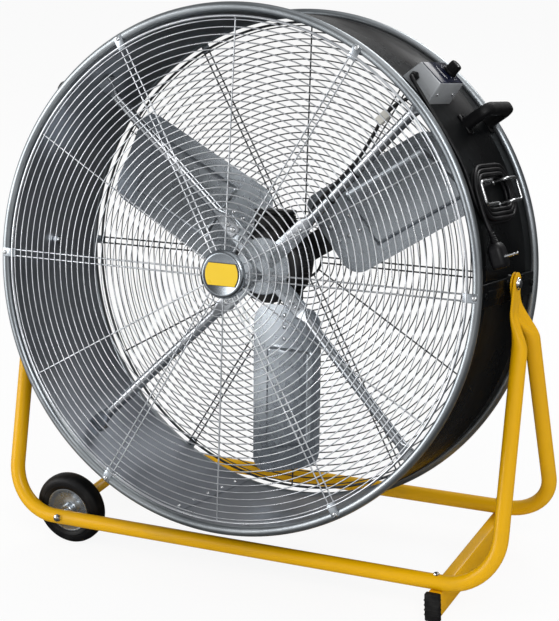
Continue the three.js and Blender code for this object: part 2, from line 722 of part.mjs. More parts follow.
function terminalBox() {
  const [sizeX, sizeY, sizeZ] = TERMINAL_SIZE;
  const middle = MOTOR_FRONT + MOTOR_LENGTH / 2;
  const block = box(-sizeX / 2, sizeX / 2, middle - sizeY / 2, middle + sizeY / 2, MOTOR_R - 20, MOTOR_R + sizeZ);
  return cut(block, rodY(MOTOR_R + GAP, MOTOR_FRONT - 5, motorBack + 5, 96));
}

piece(drum, 'motor', motorBody(), motorPaint);
piece(drum, 'motor_bracket', motorBracket(), galvanised);
STRUT_ANGLES.forEach((angle, i) => piece(station(angle), `motor_strut_${i + 1}`, strut(), galvanised));
piece(drum, 'terminal_box', terminalBox(), blackPlastic);

// ---- Impeller: shaft, hub with riveting arms, and broad pitched blades -------------------------

const impeller = new THREE.Group();
drum.add(impeller);

// Moves a shape that lies flat, span along X and chord along Z, to the blade's pitch and place.
function pitched(geometry, angle) {
  return geometry.rotateX(degrees(BLADE_PITCH)).translate(0, BLADE_MIDDLE_Y, 0).rotateY(-degrees(angle));
}

// How far the blade's middle surface lies behind its pitch plane: hollow in front, by the camber.
function camberAt(share) {
  return BLADE_CAMBER * (1 / 2 - share * share);
}

function blade() {
  const spanSteps = 10;
  const chordSteps = 6;
  const rings = [];
  for (let i = 0; i <= spanSteps; i += 1) {
    const share = i / spanSteps;
    const span = (level) => BLADE_ROOT
      + share * (bladeTip - BLADE_TIP_SLANT * (1 / 2 + level / BLADE_TIP_CHORD) - BLADE_ROOT);
    const full = THREE.MathUtils.lerp(BLADE_ROOT_CHORD, BLADE_TIP_CHORD, share) / 2;
    const inset = Math.max(0, BLADE_CORNER - Math.min(share, 1 - share) * (bladeTip - BLADE_ROOT));
    const half = full - BLADE_CORNER + Math.sqrt(BLADE_CORNER ** 2 - inset ** 2);
    const level = (k) => half * (2 * k / chordSteps - 1);
    const edge = (k, lift) => vector(span(level(k)), camberAt(level(k) / full) + lift, level(k));
    const upper = Array.from({ length: chordSteps + 1 }, (_, k) => edge(k, BLADE_THICK / 2));
    const lower = Array.from({ length: chordSteps + 1 }, (_, k) => edge(chordSteps - k, -BLADE_THICK / 2));
    rings.push([...upper, ...lower]);
  }
  return loft(rings);
}

// A boss on the shaft with one pitched arm behind each blade's root.
function impellerHub() {
  const boss = turned([[0, hubBack - HUB_LENGTH], [HUB_R, hubBack - HUB_LENGTH], [HUB_R, hubBack],
    [0, hubBack]], 24);
  const behind = BLADE_CAMBER / 2 + BLADE_THICK / 2 + GAP;
  const arms = Array.from({ length: BLADE_COUNT }, (_, i) => pitched(
    box(0, ARM_REACH, behind, behind + ARM_THICK, -ARM_WIDTH / 2, ARM_WIDTH / 2),
    BLADE_PHASE + i * 360 / BLADE_COUNT));
  return cut(join(boss, ...arms), rodY(SHAFT_R + GAP, shaftFront, shaftBack));
}

piece(impeller, 'impeller_shaft', rodY(SHAFT_R, shaftFront, shaftBack), chrome);
piece(impeller, 'impeller_hub', impellerHub(), motorPaint);
for (let i = 0; i < BLADE_COUNT; i += 1) {
  const angle = BLADE_PHASE + i * 360 / BLADE_COUNT;
  piece(impeller, `blade_${i + 1}`, pitched(blade(), angle), galvanised);
}

// ---- Control box: a sheet-metal cover on the drum, panel, knob and cable gland ------------------

const boxBack = BOX_FRONT + BOX_LENGTH;
const panelTop = boxTop + GAP + PANEL_THICK;

// A block that narrows from the drum outwards, drawn in by an inset all round but at the bottom.
function taperedBlock(inset) {
  const base = BOX_BASE / 2 - inset;
  const top = BOX_TOP / 2 - inset;
  const level = (x, half) => [vector(x, BOX_FRONT + inset, -half), vector(x, boxBack - inset, -half),
    vector(x, boxBack - inset, half), vector(x, BOX_FRONT + inset, half)];
  const low = inset > 0 ? SHELL_R - 12 : SHELL_R - 6;
  return loft([level(low, base), level(boxTop - inset, top)]);
}

function controlBox() {
  const drumSide = rodY(SHELL_R + GAP, -shellHalf, shellHalf, 180);
  const spindle = rodX(KNOB_SPINDLE_R + GAP, SHELL_R, boxTop + 5, 12).translate(0, KNOB_Y, 0);
  const glandHole = rodY(GLAND_R - 3 + GAP, BOX_FRONT - 5, BOX_FRONT + BOX_WALL + 5, 16)
    .translate(SHELL_R + GLAND_LEVEL, 0, GLAND_OFFSET);
  return cut(taperedBlock(0), taperedBlock(BOX_WALL), drumSide, spindle, glandHole);
}

function controlPanel() {
  const half = BOX_TOP / 2 - PANEL_MARGIN;
  const plate = box(boxTop + GAP, panelTop, BOX_FRONT + PANEL_MARGIN, boxBack - PANEL_MARGIN, -half, half);
  return cut(plate, rodX(KNOB_SPINDLE_R + GAP, boxTop - 5, panelTop + 5, 12).translate(0, KNOB_Y, 0));
}

function speedKnob() {
  const low = panelTop + KNOB_LIFT;
  const body = turned([[0, low], [KNOB_R, low], [KNOB_R, low + 5], [KNOB_R - 2, low + KNOB_HEIGHT - 2],
    [KNOB_R - 4, low + KNOB_HEIGHT], [0, low + KNOB_HEIGHT]], 20).rotateZ(-Math.PI / 2);
  const spindle = rodX(KNOB_SPINDLE_R, boxTop - BOX_WALL - 8, low + 2, 12);
  return join(body, spindle).translate(0, KNOB_Y, 0);
}

function cableGland() {
  const face = BOX_FRONT - GAP;
  const neck = rodY(GLAND_R - 3, face - GLAND_LENGTH, BOX_FRONT + BOX_WALL + 3, 16);
  const nut = rodY(GLAND_R, face - 6, face, 6);
  return cut(join(neck, nut), rodY(CORD_R + GAP, face - GLAND_LENGTH + 4, BOX_FRONT + BOX_WALL + 8, 12))
    .translate(SHELL_R + GLAND_LEVEL, 0, GLAND_OFFSET);
}

const boxStation = station(BOX_ANGLE);
piece(boxStation, 'control_box', controlBox(), boxPaint);
piece(boxStation, 'control_panel', controlPanel(), panelPlastic);
piece(boxStation, 'speed_knob', speedKnob(), blackPlastic);
piece(boxStation, 'cable_gland', cableGland(), blackPlastic);

// ---- Handles: moulded grips on the drum's sides -------------------------------------------------

function handle(middle) {
  const half = HANDLE_LENGTH / 2 - HANDLE_R;
  const foot = SHELL_R - 6;
  const grip = SHELL_R + HANDLE_STAND;
  const path = roundedPath([vector(foot, middle - half, 0), vector(grip, middle - half, 0),
    vector(grip, middle + half, 0), vector(foot, middle + half, 0)], 16);
  return cut(tube(path, HANDLE_R, 16, 8), rodY(SHELL_R + GAP, -shellHalf, shellHalf, 180));
}

for (const place of ['right', 'left']) {
  piece(station(HANDLE_ANGLES[place]), `handle_${place}`, handle(HANDLE_MIDDLE[place]), blackPlastic);
}

// ---- Wire hooks that hold the wound lead --------------------------------------------------------

function cordHook(side, lip) {
  const foot = SHELL_R - 4;
  const level = SHELL_R + HOOK_LEVEL;
  const post = COIL_Y + side * HOOK_POST;
  const end = COIL_Y + side * lip;
  const path = roundedPath([
    vector(foot, post, HOOK_HALF_WIDTH),
    vector(level, post, HOOK_HALF_WIDTH),
    vector(level, end, HOOK_HALF_WIDTH),
    vector(level, end, -HOOK_HALF_WIDTH),
    vector(level, post, -HOOK_HALF_WIDTH),
    vector(foot, post, -HOOK_HALF_WIDTH),
  ], 9);
  return cut(tube(path, HOOK_R, 26, 6), rodY(SHELL_R + GAP, -shellHalf, shellHalf, 180));
}

const coilStation = station(COIL_ANGLE);
piece(coilStation, 'cord_hook_front', cordHook(-1, HOOK_LIP.front), chrome);
piece(coilStation, 'cord_hook_rear', cordHook(1, HOOK_LIP.rear), chrome);

// ---- Mains lead: stretch from the gland, wound bundle, tail and plug ----------------------------

const coilLow = SHELL_R + COIL_LIFT + CORD_R;
const coilHigh = coilLow + COIL_PITCH;

// A point of the winding, after a number of turns. It spirals in on the lower layer over half of the
// turns and out again on the upper one, climbing in the half turn where the spiral reverses.
function coilPoint(turns) {
  const reverse = COIL_TURNS / 2;
  const inward = Math.min(turns, COIL_TURNS - turns);
  const climb = THREE.MathUtils.smoothstep(turns, reverse - 0.25, reverse + 0.25);
  const halfLength = COIL_HALF_LENGTH - COIL_PITCH * inward;
  const halfWidth = COIL_HALF_WIDTH - COIL_PITCH * inward;
  const straight = halfLength - halfWidth;
  const around = turns * 2 * Math.PI;
  const y = COIL_Y - straight * Math.sign(Math.cos(around)) * Math.min(1, Math.abs(4 * Math.cos(around)))
    - halfWidth * Math.cos(around);
  return vector(THREE.MathUtils.lerp(coilLow, coilHigh, climb), y, -halfWidth * Math.sin(around));
}

function woundTube(points, radius, sides) {
  const tangent = (i) => points[Math.min(i + 1, points.length - 1)].clone()
    .sub(points[Math.max(i - 1, 0)]).normalize();
  const up = vector(1, 0, 0);
  return loft(points.map((point, i) => {
    const side = tangent(i).cross(up).normalize();
    const lift = side.clone().cross(tangent(i)).normalize();
    return oval(point, side, lift, radius, radius, 1, sides);
  }));
}

const coilSteps = COIL_TURNS * COIL_STEPS;
const coilTurns = Array.from({ length: coilSteps + 1 }, (_, i) => coilPoint(i / COIL_STEPS));
const straightEnd = vector(0, 0, 2 * CORD_R);
const coilCentres = [coilTurns[0].clone().add(straightEnd), ...coilTurns,
  coilTurns.at(-1).clone().sub(straightEnd)];

// The winding's least gap to itself, measured between points at least half a turn apart.
function leastGap(points) {
  const dense = new THREE.CatmullRomCurve3(points).getPoints(points.length * 3);
  const apart = Math.round(dense.length / COIL_TURNS / 2);
  let least = Infinity;
  for (let i = 0; i < dense.length; i += 1) {
    for (let k = i + apart; k < dense.length; k += 1) {
      least = Math.min(least, dense[i].distanceTo(dense[k]));
    }
  }
  return least - 2 * CORD_R;
}

console.log(`wound lead: least gap to itself ${leastGap(coilTurns).toFixed(2)} mm`);
piece(coilStation, 'cord_coil', woundTube(coilCentres, CORD_R, COIL_SIDES), blackPlastic);

// From the gland, down the drum's side behind the front rim, to the winding's first turn.
// A point is given as its angle round the drum, its height off the drum and its place along the axis.
function onDrum([angle, lift, y]) {
  const radius = SHELL_R + lift;
  return vector(radius * Math.cos(degrees(angle)), y, radius * Math.sin(degrees(angle)));
}

const glandAngle = BOX_ANGLE + THREE.MathUtils.radToDeg(Math.atan2(GLAND_OFFSET, SHELL_R + GLAND_LEVEL));
const glandLift = Math.hypot(GLAND_OFFSET, SHELL_R + GLAND_LEVEL) - SHELL_R;
const glandMouth = BOX_FRONT - GAP - GLAND_LENGTH - GAP;
const stretchPoints = [
  [glandAngle, glandLift, glandMouth],
  [glandAngle, glandLift, glandMouth - 4],
  [glandAngle - 0.6, glandLift - 0.6, glandMouth - 9],
  [glandAngle - 1.8, glandLift - 2.2, glandMouth - 12.5],
  [glandAngle - 3.4, glandLift - 4.4, glandMouth - 13.6],
  [glandAngle - 6, 9.5, glandMouth - 13.6],
  [39, 6, -136],
  [35, 5.2, -133],
  [31, 4.9, -129],
  [27.5, 5.6, -126.6],
].map(onDrum);
const coilStart = coilCentres[0].clone().applyAxisAngle(vector(0, 1, 0), -degrees(COIL_ANGLE));
const coilStartRise = vector(0, 0, 1).applyAxisAngle(vector(0, 1, 0), -degrees(COIL_ANGLE));
stretchPoints.push(coilStart.clone().addScaledVector(coilStartRise, 9));
stretchPoints.push(coilStart.clone().addScaledVector(coilStartRise, GAP));
piece(drum, 'cord_stretch', tube(new THREE.CatmullRomCurve3(stretchPoints, false, 'centripetal'), CORD_R, 30),
  blackPlastic);

// From the winding's last turn straight down to the plug, which hangs beside the drum.
const plugTop = -PLUG_DROP + PLUG_SIZE[2] / 2;
const coilEnd = coilCentres.at(-1);
const plugY = coilEnd.y;
const plugX = SHELL_R + PLUG_LIFT + PLUG_SIZE[0] / 2;
const tailPoints = [
  vector(coilEnd.x, coilEnd.y, coilEnd.z - GAP),
  vector(coilEnd.x, coilEnd.y, coilEnd.z - 8),
  vector(coilEnd.x + 0.3, plugY, -38),
  vector(coilEnd.x + 1.6, plugY, -56),
  vector(plugX, plugY, plugTop + 12),
  vector(plugX, plugY, plugTop + GAP),
];
piece(coilStation, 'cord_tail', tube(new THREE.CatmullRomCurve3(tailPoints, false, 'centripetal'), CORD_R, 16),
  blackPlastic);

function plug() {
  const [thick, wide, long] = PLUG_SIZE;
  const body = box(plugX - thick / 2, plugX + thick / 2, plugY - wide / 2, plugY + wide / 2,
    plugTop - long, plugTop);
  const face = plugX + thick / 2;
  const pins = [-1, 1].map((side) => rodX(PIN_R, face - 2, face + PIN_LENGTH, 10)
    .translate(0, plugY + side * PIN_SPACING / 2, plugTop - long * 0.6));
  return join(body, ...pins);
}

piece(coilStation, 'plug', plug(), blackPlastic);

export default fan;
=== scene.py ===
from math import atan2, copysign, cos, degrees, exp, hypot, pi, radians, sin, sqrt, tau

import bmesh
import bpy
from mathutils import Matrix, Vector


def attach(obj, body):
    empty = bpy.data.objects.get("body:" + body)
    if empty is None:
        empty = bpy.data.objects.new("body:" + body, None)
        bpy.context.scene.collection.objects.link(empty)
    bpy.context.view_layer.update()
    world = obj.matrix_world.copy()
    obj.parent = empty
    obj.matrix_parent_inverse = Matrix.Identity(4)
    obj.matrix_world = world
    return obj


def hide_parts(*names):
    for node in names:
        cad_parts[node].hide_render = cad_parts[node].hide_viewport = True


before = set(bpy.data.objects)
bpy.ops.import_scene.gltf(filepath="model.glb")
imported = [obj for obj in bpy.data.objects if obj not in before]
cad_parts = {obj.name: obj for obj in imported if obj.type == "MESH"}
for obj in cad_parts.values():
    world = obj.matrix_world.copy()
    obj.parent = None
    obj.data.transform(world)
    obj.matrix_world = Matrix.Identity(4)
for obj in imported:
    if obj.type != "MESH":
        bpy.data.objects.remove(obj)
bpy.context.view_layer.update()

scene = bpy.context.scene
ENDS = (("front", -1), ("rear", 1))


def linked(name, data):
    """An object with that data, put in the scene."""
    made = bpy.data.objects.new(name, data)
    scene.collection.objects.link(made)
    return made


# ---- The view --------------------------------------------------------------------------------
# A long lens from in front, to the right and a little above. Its place, angles, focal length and
# shift in the frame come from the outlines of both rims and the stand's tubes in the photograph.
PHOTO_WIDTH, PHOTO_HEIGHT = 559, 621
FOCAL_PIXELS = 1767.4
MIDDLE_PIXEL = (276.6, 324.4)
SENSOR = 36.0
EYE = (1.4865, -2.9387, 1.60224)
YAW, PITCH, ROLL = 0.46349, 0.32983, -0.0481

ahead = Vector((-sin(YAW) * cos(PITCH), cos(YAW) * cos(PITCH), -sin(PITCH)))
level_right = Vector((cos(YAW), sin(YAW), 0))
level_up = level_right.cross(ahead)
right = level_right * cos(ROLL) + level_up * sin(ROLL)
up = level_up * cos(ROLL) - level_right * sin(ROLL)

lens = bpy.data.cameras.new("photo_camera")
lens.sensor_fit = "HORIZONTAL"
lens.sensor_width = SENSOR
lens.lens = FOCAL_PIXELS / PHOTO_WIDTH * SENSOR
lens.shift_x = (PHOTO_WIDTH / 2 - MIDDLE_PIXEL[0]) / PHOTO_WIDTH
lens.shift_y = (MIDDLE_PIXEL[1] - PHOTO_HEIGHT / 2) / PHOTO_WIDTH
camera = linked("photo_camera", lens)
stance = Matrix((right, up, -ahead)).transposed().to_4x4()
stance.translation = Vector(EYE)
camera.matrix_world = stance
scene.camera = camera
scene.view_settings.view_transform = "Standard"


# ---- Nodes and finishes ----------------------------------------------------------------------
class Wire:
    """An output of a node, on which sums can be written."""

    def __init__(self, tree, output):
        self.tree = tree
        self.output = output

    def node(self, kind, sockets=None, output=0, **settings):
        made = self.tree.nodes.new(kind)
        for key, value in settings.items():
            setattr(made, key, value)
        for key, value in (sockets or {}).items():
            if isinstance(value, Wire):
                self.tree.links.new(value.output, made.inputs[key])
            else:
                made.inputs[key].default_value = value
        return Wire(self.tree, made.outputs[output])

    def maths(self, operation, first, second):
        return self.node("ShaderNodeMath", {0: first, 1: second}, operation=operation)

    def __add__(self, other):
        return self.maths("ADD", self, other)

    def __rsub__(self, other):
        return self.maths("SUBTRACT", other, self)

    def __mul__(self, other):
        return self.maths("MULTIPLY", self, other)

    def __pow__(self, other):
        return self.maths("POWER", self, other)

    __radd__ = __add__
    __rmul__ = __mul__

    def vector(self, x=0.0, y=0.0, z=0.0):
        return self.node("ShaderNodeCombineXYZ", {0: x, 1: y, 2: z})

    def facing(self, direction):
        """How far this vector reaches in a direction."""
        return self.node("ShaderNodeVectorMath", {0: self, 1: direction}, "Value", operation="DOT_PRODUCT")

    def span(self, low, high):
        """Nought below low, one above high."""
        return self.node("ShaderNodeMapRange", {"Value": self, "From Min": low, "From Max": high},
                         interpolation_type="SMOOTHSTEP")

    def tint(self, first, second):
        """The first colour where this is nought, the second where it is one."""
        return self.node("ShaderNodeMix", {0: self, 6: first, 7: second}, 2, data_type="RGBA")


def ray_is(tree, kind):
    """One for rays of that kind, nought for the others."""
    return Wire(tree, tree.nodes.new("ShaderNodeLightPath").outputs[f"Is {kind} Ray"])


def start_finish(name):
    """A material, its shader and the object's own coordinates."""
    material = bpy.data.materials.new(name)
    material.use_nodes = True
    shader = material.node_tree.nodes["Principled BSDF"]
    coordinates = material.node_tree.nodes.new("ShaderNodeTexCoord").outputs["Object"]
    return material, shader, Wire(material.node_tree, coordinates)


def feed(shader, **sockets):
    for key, value in sockets.items():
        socket = shader.inputs[key.replace("_", " ")]
        if isinstance(value, Wire):
            value.tree.links.new(value.output, socket)
        else:
            socket.default_value = value


def grain(place, scale, detail=3.0, stretch=(1, 1, 1)):
    laid = place.node("ShaderNodeMapping", {"Vector": place, "Scale": stretch})
    return place.node("ShaderNodeTexNoise", {"Vector": laid, "Scale": scale, "Detail": detail})


def relief(height, depth, strength):
    return height.node("ShaderNodeBump", {"Height": height, "Distance": depth, "Strength": strength})


def worn_finish(name, wear, clean, worn, rough, bump=None, **others):
    """A finish that goes from a clean colour to a worn one.

    wear: scale and detail of the grain that mixes the two, and the span it is sharpened to, if any.
    rough: the least roughness, what is added at most, and the scale and detail of the grain that
    adds it; without those two the wear adds it.
    bump: scale and detail of a fine relief, then its depth and strength.
    The other sockets take a number, or a function of the coordinates and the wear.
    """
    material, shader, place = start_finish(name)
    scale, detail, *sharpened = wear
    share = grain(place, scale, detail)
    if sharpened:
        share = share.span(*sharpened)
    least, more, *own = rough
    feed(shader, Base_Color=share.tint((*clean, 1), (*worn, 1)),
         Roughness=least + more * (grain(place, *own) if own else share),
         **{key: value(place, share) if callable(value) else value for key, value in others.items()})
    if bump:
        feed(shader, Normal=relief(grain(place, *bump[:2]), *bump[2:]))
    return material


# ---- The room --------------------------------------------------------------------------------
# A white studio: a pale floor, an even white surround and three broad soft lamps. Bright metal
# sees a darker room instead, with four glows in it and some faint cloud.
AMBIENT = 0.62
MIRROR_LOW, MIRROR_CLOUD, CLOUD_SCALE = 0.07, 0.12, 2.4
# Each glow: its direction, how nearly a reflection faces it where it starts and is full, strength.
MIRROR_GLOWS = (((-0.87, -0.49, -0.05), 0.55, 0.97, 0.85), ((-0.70, 0.71, 0.05), 0.78, 0.97, 0.55),
                ((0.25, 0.10, 0.96), 0.65, 0.98, 0.8), ((0.80, -0.58, 0.15), 0.80, 0.98, 0.5))
world = bpy.data.worlds.new("studio")
scene.world = world
world.use_nodes = True
sky = world.node_tree
around = Wire(sky, sky.nodes.new("ShaderNodeTexCoord").outputs["Generated"])
seen = around.maths("MAXIMUM", ray_is(sky, "Camera"), ray_is(sky, "Transmission"))
mirrored = ray_is(sky, "Glossy")
cloud = around.node("ShaderNodeTexNoise", {"Vector": around, "Scale": CLOUD_SCALE, "Detail": 1.0})
shine = MIRROR_LOW + cloud.span(0.5, 0.7) * MIRROR_CLOUD
for direction, faint, full, glow in MIRROR_GLOWS:
    shine = shine + around.facing(direction).span(faint, full) * glow
strength = seen + (1 - seen) * (mirrored * shine + (1 - mirrored) * AMBIENT)
sky.links.new(strength.output, sky.nodes["Background"].inputs["Strength"])
sky.nodes["Background"].inputs["Color"].default_value = (1, 1, 1, 1)

LIT = Vector((0, 0, 0.6))
for name, spot, size, power in (("key", (2.6, -3.4, 3.6), 2.2, 95), ("fill", (-3.4, -2.6, 1.6), 2.5, 80),
                                ("back", (0.8, 3.4, 3.2), 2.2, 70)):
    lamp = bpy.data.lights.new(f"{name}_lamp", "AREA")
    lamp.size = size
    lamp.energy = power
    hung = linked(f"{name}_lamp", lamp)
    hung.location = spot
    hung.rotation_euler = (LIT - Vector(spot)).to_track_quat("-Z", "Y").to_euler()

# The floor glows to the eye. Bright metal sees it dark, and lighter towards the left and front.
FLOOR_HALF = 30.0
FLOOR_GLOW = 0.9
FLOOR_DARK, FLOOR_LIGHT = 0.03, 0.8
LIGHTER_WAY, LIGHTER_FROM, LIGHTER_TO = (-0.6, -0.8, 0), 0.2, 2.6
floor_mesh = bpy.data.meshes.new("floor")
floor_mesh.from_pydata([(x * FLOOR_HALF, y * FLOOR_HALF, 0) for x, y in ((-1, -1), (1, -1), (1, 1), (-1, 1))],
                       [], [(0, 1, 2, 3)])
floor_paper, shader, place = start_finish("floor_paper")
feed(shader, Base_Color=(0.85, 0.85, 0.85, 1), Roughness=0.9)
floor_tree = floor_paper.node_tree
lighter = place.facing(LIGHTER_WAY).span(LIGHTER_FROM, LIGHTER_TO)
in_metal = place.node("ShaderNodeEmission", {"Strength": FLOOR_DARK + lighter * (FLOOR_LIGHT - FLOOR_DARK)})
paper = place.node("ShaderNodeMixShader", {
    0: ray_is(floor_tree, "Glossy"), 1: Wire(floor_tree, shader.outputs[0]), 2: in_metal})
floor_look = place.node("ShaderNodeMixShader", {
    0: ray_is(floor_tree, "Camera") * FLOOR_GLOW, 1: paper, 2: place.node("ShaderNodeEmission")})
floor_tree.links.new(floor_look.output, floor_tree.nodes["Material Output"].inputs["Surface"])
floor_mesh.materials.append(floor_paper)
linked("floor", floor_mesh)


# ---- Shapes ----------------------------------------------------------------------------------
LATHE_OUT = Matrix.Rotation(-pi / 2, 4, "Z")
PIPE_HINT = Vector((0.3, 0.2, 0.9))


def moved(x, y, z):
    return Matrix.Translation((x, y, z))


def axes(place, *wanted):
    """Directions of a frame, in the world."""
    return [place.to_3x3() @ Vector(axis) for axis in wanted]


def seat_at(place, point, aim, radius):
    """Where a screw or rivet sits: its point, the way it points and the radius of its head."""
    return place @ Vector(point), place.to_3x3() @ Vector(aim), radius


def eased(value, low, high):
    """Nought below low, one above high, and smooth between them."""
    share = min(1.0, max(0.0, (value - low) / (high - low)))
    return share * share * (3 - 2 * share)


def quarter(steps):
    """Angles of a quarter turn."""
    return [pi / 2 * k / steps for k in range(steps + 1)]


def both_sides(profile):
    """A profile and its mirror image, in one round."""
    return profile + [(r, -y) for r, y in profile[::-1]]


def smooth_line(points, steps):
    """A smooth line through all the points, with that many steps between two of them."""
    ends = [2 * points[0] - points[1], *points, 2 * points[-1] - points[-2]]
    line = []
    for a, b, c, d in zip(ends, ends[1:], ends[2:], ends[3:]):
        t1 = (b - a).length ** 0.5
        t2 = t1 + (c - b).length ** 0.5
        t3 = t2 + (d - c).length ** 0.5
        for k in range(steps):
            t = t1 + (t2 - t1) * k / steps
            p = a.lerp(b, t / t1)
            q = b.lerp(c, (t - t1) / (t2 - t1))
            r = c.lerp(d, (t - t2) / (t3 - t2))
            line.append(p.lerp(q, t / t2).lerp(q.lerp(r, (t - t1) / (t3 - t1)), (t - t1) / (t2 - t1)))
    return [*line, points[-1].copy()]


def loft(shape, rings, capped=True, paint=0):
    """A skin over rings of corners, with its two ends closed."""
    count = len(rings[0])
    rows = [[shape.verts.new(corner) for corner in ring] for ring in rings]
    faces = []
    for lower, upper in zip(rows, rows[1:]):
        for k in range(count):
            j = (k + 1) % count
            faces.append(shape.faces.new((lower[k], lower[j], upper[j], upper[k])))
    if capped:
        faces += [shape.faces.new(rows[0][::-1]), shape.faces.new(rows[-1])]
    for face in faces:
        face.material_index = paint
    return rows


def lathe(shape, profile, place, count=64, ring=False, radius_at=None):
    """Turns [radius, height] corners round the frame's Y axis; a ring's profile closes on itself."""
    columns = []
    for k in range(count):
        angle = tau * k / count
        swell = radius_at(angle) if radius_at else 1.0
        columns.append([shape.verts.new(place @ Vector((r * swell * cos(angle), y, r * swell * sin(angle))))
                        for r, y in profile])
    last = len(profile) if ring else len(profile) - 1
    for k in range(count):
        here, there = columns[k], columns[(k + 1) % count]
        for i in range(last):
            j = (i + 1) % len(profile)
            ends = [here[i], here[j], there[j], there[i]]
            if profile[i][0] == 0:
                ends.pop(3)
            elif profile[j][0] == 0:
                ends.pop(2)
            shape.faces.new(ends)


def frames_along(line, side):
    """At each point of a line, two directions square to it that don't twist."""
    found = []
    for i, point in enumerate(line):
        onward = (line[min(i + 1, len(line) - 1)] - line[max(i - 1, 0)]).normalized()
        side = (side - onward * side.dot(onward)).normalized()
        found.append((point, side.copy(), onward.cross(side)))
    return found


def pipe(shape, line, radius, sides=12):
    """A round bar along a line; its radius is a number or a function of the share of the way."""
    rings = []
    for i, (point, first, second) in enumerate(frames_along(line, PIPE_HINT)):
        r = radius(i / (len(line) - 1)) if callable(radius) else radius
        rings.append([point + r * (cos(tau * k / sides) * first + sin(tau * k / sides) * second)
                      for k in range(sides)])
    loft(shape, rings)


def rounded_ring(centre, first, second, half_first, half_second, power, sides):
    """An oval of corners; a low power squares it off."""
    def shaped(value):
        return copysign(abs(value) ** power, value)
    return [centre + first * half_first * shaped(cos(tau * (k + 0.5) / sides))
            + second * half_second * shaped(sin(tau * (k + 0.5) / sides)) for k in range(sides)]


def block(shape, place, corner, opposite, edge, steps=2, paint=0):
    """A block between two corners of a frame, with its edges rounded."""
    low, high = (Vector([choose(pair) for pair in zip(corner, opposite)]) for choose in (min, max))
    size = high - low
    fitted = place @ Matrix.Translation((low + high) / 2) @ Matrix.Diagonal((*size, 1))
    corners = bmesh.ops.create_cube(shape, size=1.0, matrix=fitted)["verts"]
    for made in corners:
        for face in made.link_faces:
            face.material_index = paint
    edges = list(dict.fromkeys(line for made in corners for line in made.link_edges))
    bmesh.ops.bevel(shape, geom=edges, offset=min(edge, min(size) * 0.49), offset_type="OFFSET", segments=steps,
                    profile=0.5, affect="EDGES", clamp_overlap=True, material=paint)


def put_in(name, data, body, replaced):
    """Makes a piece, and says what carries it and which nodes it stands for."""
    made = linked(name, data)
    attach(made, body)
    if replaced:
        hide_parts(*replaced)
    return made


def finished(name, shape, finishes, body, slot, *replaced, sharp=38, merge=1e-6):
    """Makes a piece of a shape and lays its finishes on it."""
    bmesh.ops.remove_doubles(shape, verts=shape.verts, dist=merge)
    bmesh.ops.recalc_face_normals(shape, faces=shape.faces)
    mesh = bpy.data.meshes.new(name)
    shape.to_mesh(mesh)
    shape.free()
    for material in finishes if isinstance(finishes, list) else [finishes]:
        mesh.materials.append(material)
    mesh.shade_smooth()
    mesh.set_sharp_from_angle(angle=radians(sharp))
    return put_in(name, mesh, body, replaced)


# ---- Mains lead ------------------------------------------------------------------------------
# About 2.95 m of round three-core lead in black PVC. It leaves the control box by a gland, runs
# down behind the front rim and is wound six times over two wire hooks; its plug hangs below.
TILT = radians(11.4)
PIVOT_DROP = 0.012
PIVOT_HEIGHT = 0.6083
SHELL_R = 0.488
LEAD_R = 0.0038
BOX_CLOCK = 46.7
GLAND_OUT, GLAND_UP, GLAND_MOUTH = 0.505, 0.017, -0.1246
HOOK_CLOCK = 20.7
COIL_TURNS = 6
COIL_STEPS = 24
COIL_PITCH = 0.0082
COIL_LOW = 0.4927
COIL_MIDDLE_Y = -0.028
COIL_HALF_LENGTH = 0.098
COIL_HALF_WIDTH = 0.053
PLUG_X, PLUG_Y, PLUG_TOP = 0.506, COIL_MIDDLE_Y - COIL_HALF_LENGTH, -0.089
drum_place = (moved(0, PIVOT_DROP * sin(TILT), PIVOT_HEIGHT)
              @ Matrix.Rotation(-TILT, 4, "X") @ moved(0, 0, -PIVOT_DROP))


def at_clock(angle):
    """A frame on the drum's side: X off the drum, Y along its axis, Z up its curve."""
    return drum_place @ Matrix.Rotation(-radians(angle), 4, "Y")


def beside_drum(angle, lift, y):
    return at_clock(angle) @ Vector((SHELL_R + lift, y, 0))


def coil_point(turns):
    """The lead winds inwards for half of its turns, climbs on itself and winds out again."""
    inward = min(turns, COIL_TURNS - turns) * COIL_PITCH
    climb = eased(turns, COIL_TURNS / 2 - 0.25, COIL_TURNS / 2 + 0.25) * COIL_PITCH
    half_width = COIL_HALF_WIDTH - inward
    across = cos(turns * tau)
    y = (COIL_MIDDLE_Y - (COIL_HALF_LENGTH - COIL_HALF_WIDTH) * copysign(min(1, abs(4 * across)), across)
         - half_width * across)
    return Vector((COIL_LOW + climb, y, -half_width * sin(turns * tau)))


hook_place = at_clock(HOOK_CLOCK)
turns = [coil_point(i / COIL_STEPS) for i in range(COIL_TURNS * COIL_STEPS + 1)]
lead_in = turns[0] + Vector((0, 0, 2 * LEAD_R))
lead_out = turns[-1] - Vector((0, 0, 2 * LEAD_R))
clock = BOX_CLOCK + degrees(atan2(GLAND_UP, GLAND_OUT))
lift = hypot(GLAND_UP, GLAND_OUT) - SHELL_R
route = [beside_drum(*point) for point in (
    (clock, lift, GLAND_MOUTH), (clock, lift, GLAND_MOUTH - 0.004),
    (clock - 0.6, lift - 0.0006, GLAND_MOUTH - 0.009), (clock - 1.8, lift - 0.0022, GLAND_MOUTH - 0.0125),
    (clock - 3.4, lift - 0.0044, GLAND_MOUTH - 0.0136), (clock - 6, 0.0095, GLAND_MOUTH - 0.0136),
    (39, 0.006, -0.136), (35, 0.0052, -0.133), (31, 0.0049, -0.129), (27.5, 0.0056, -0.1266))]
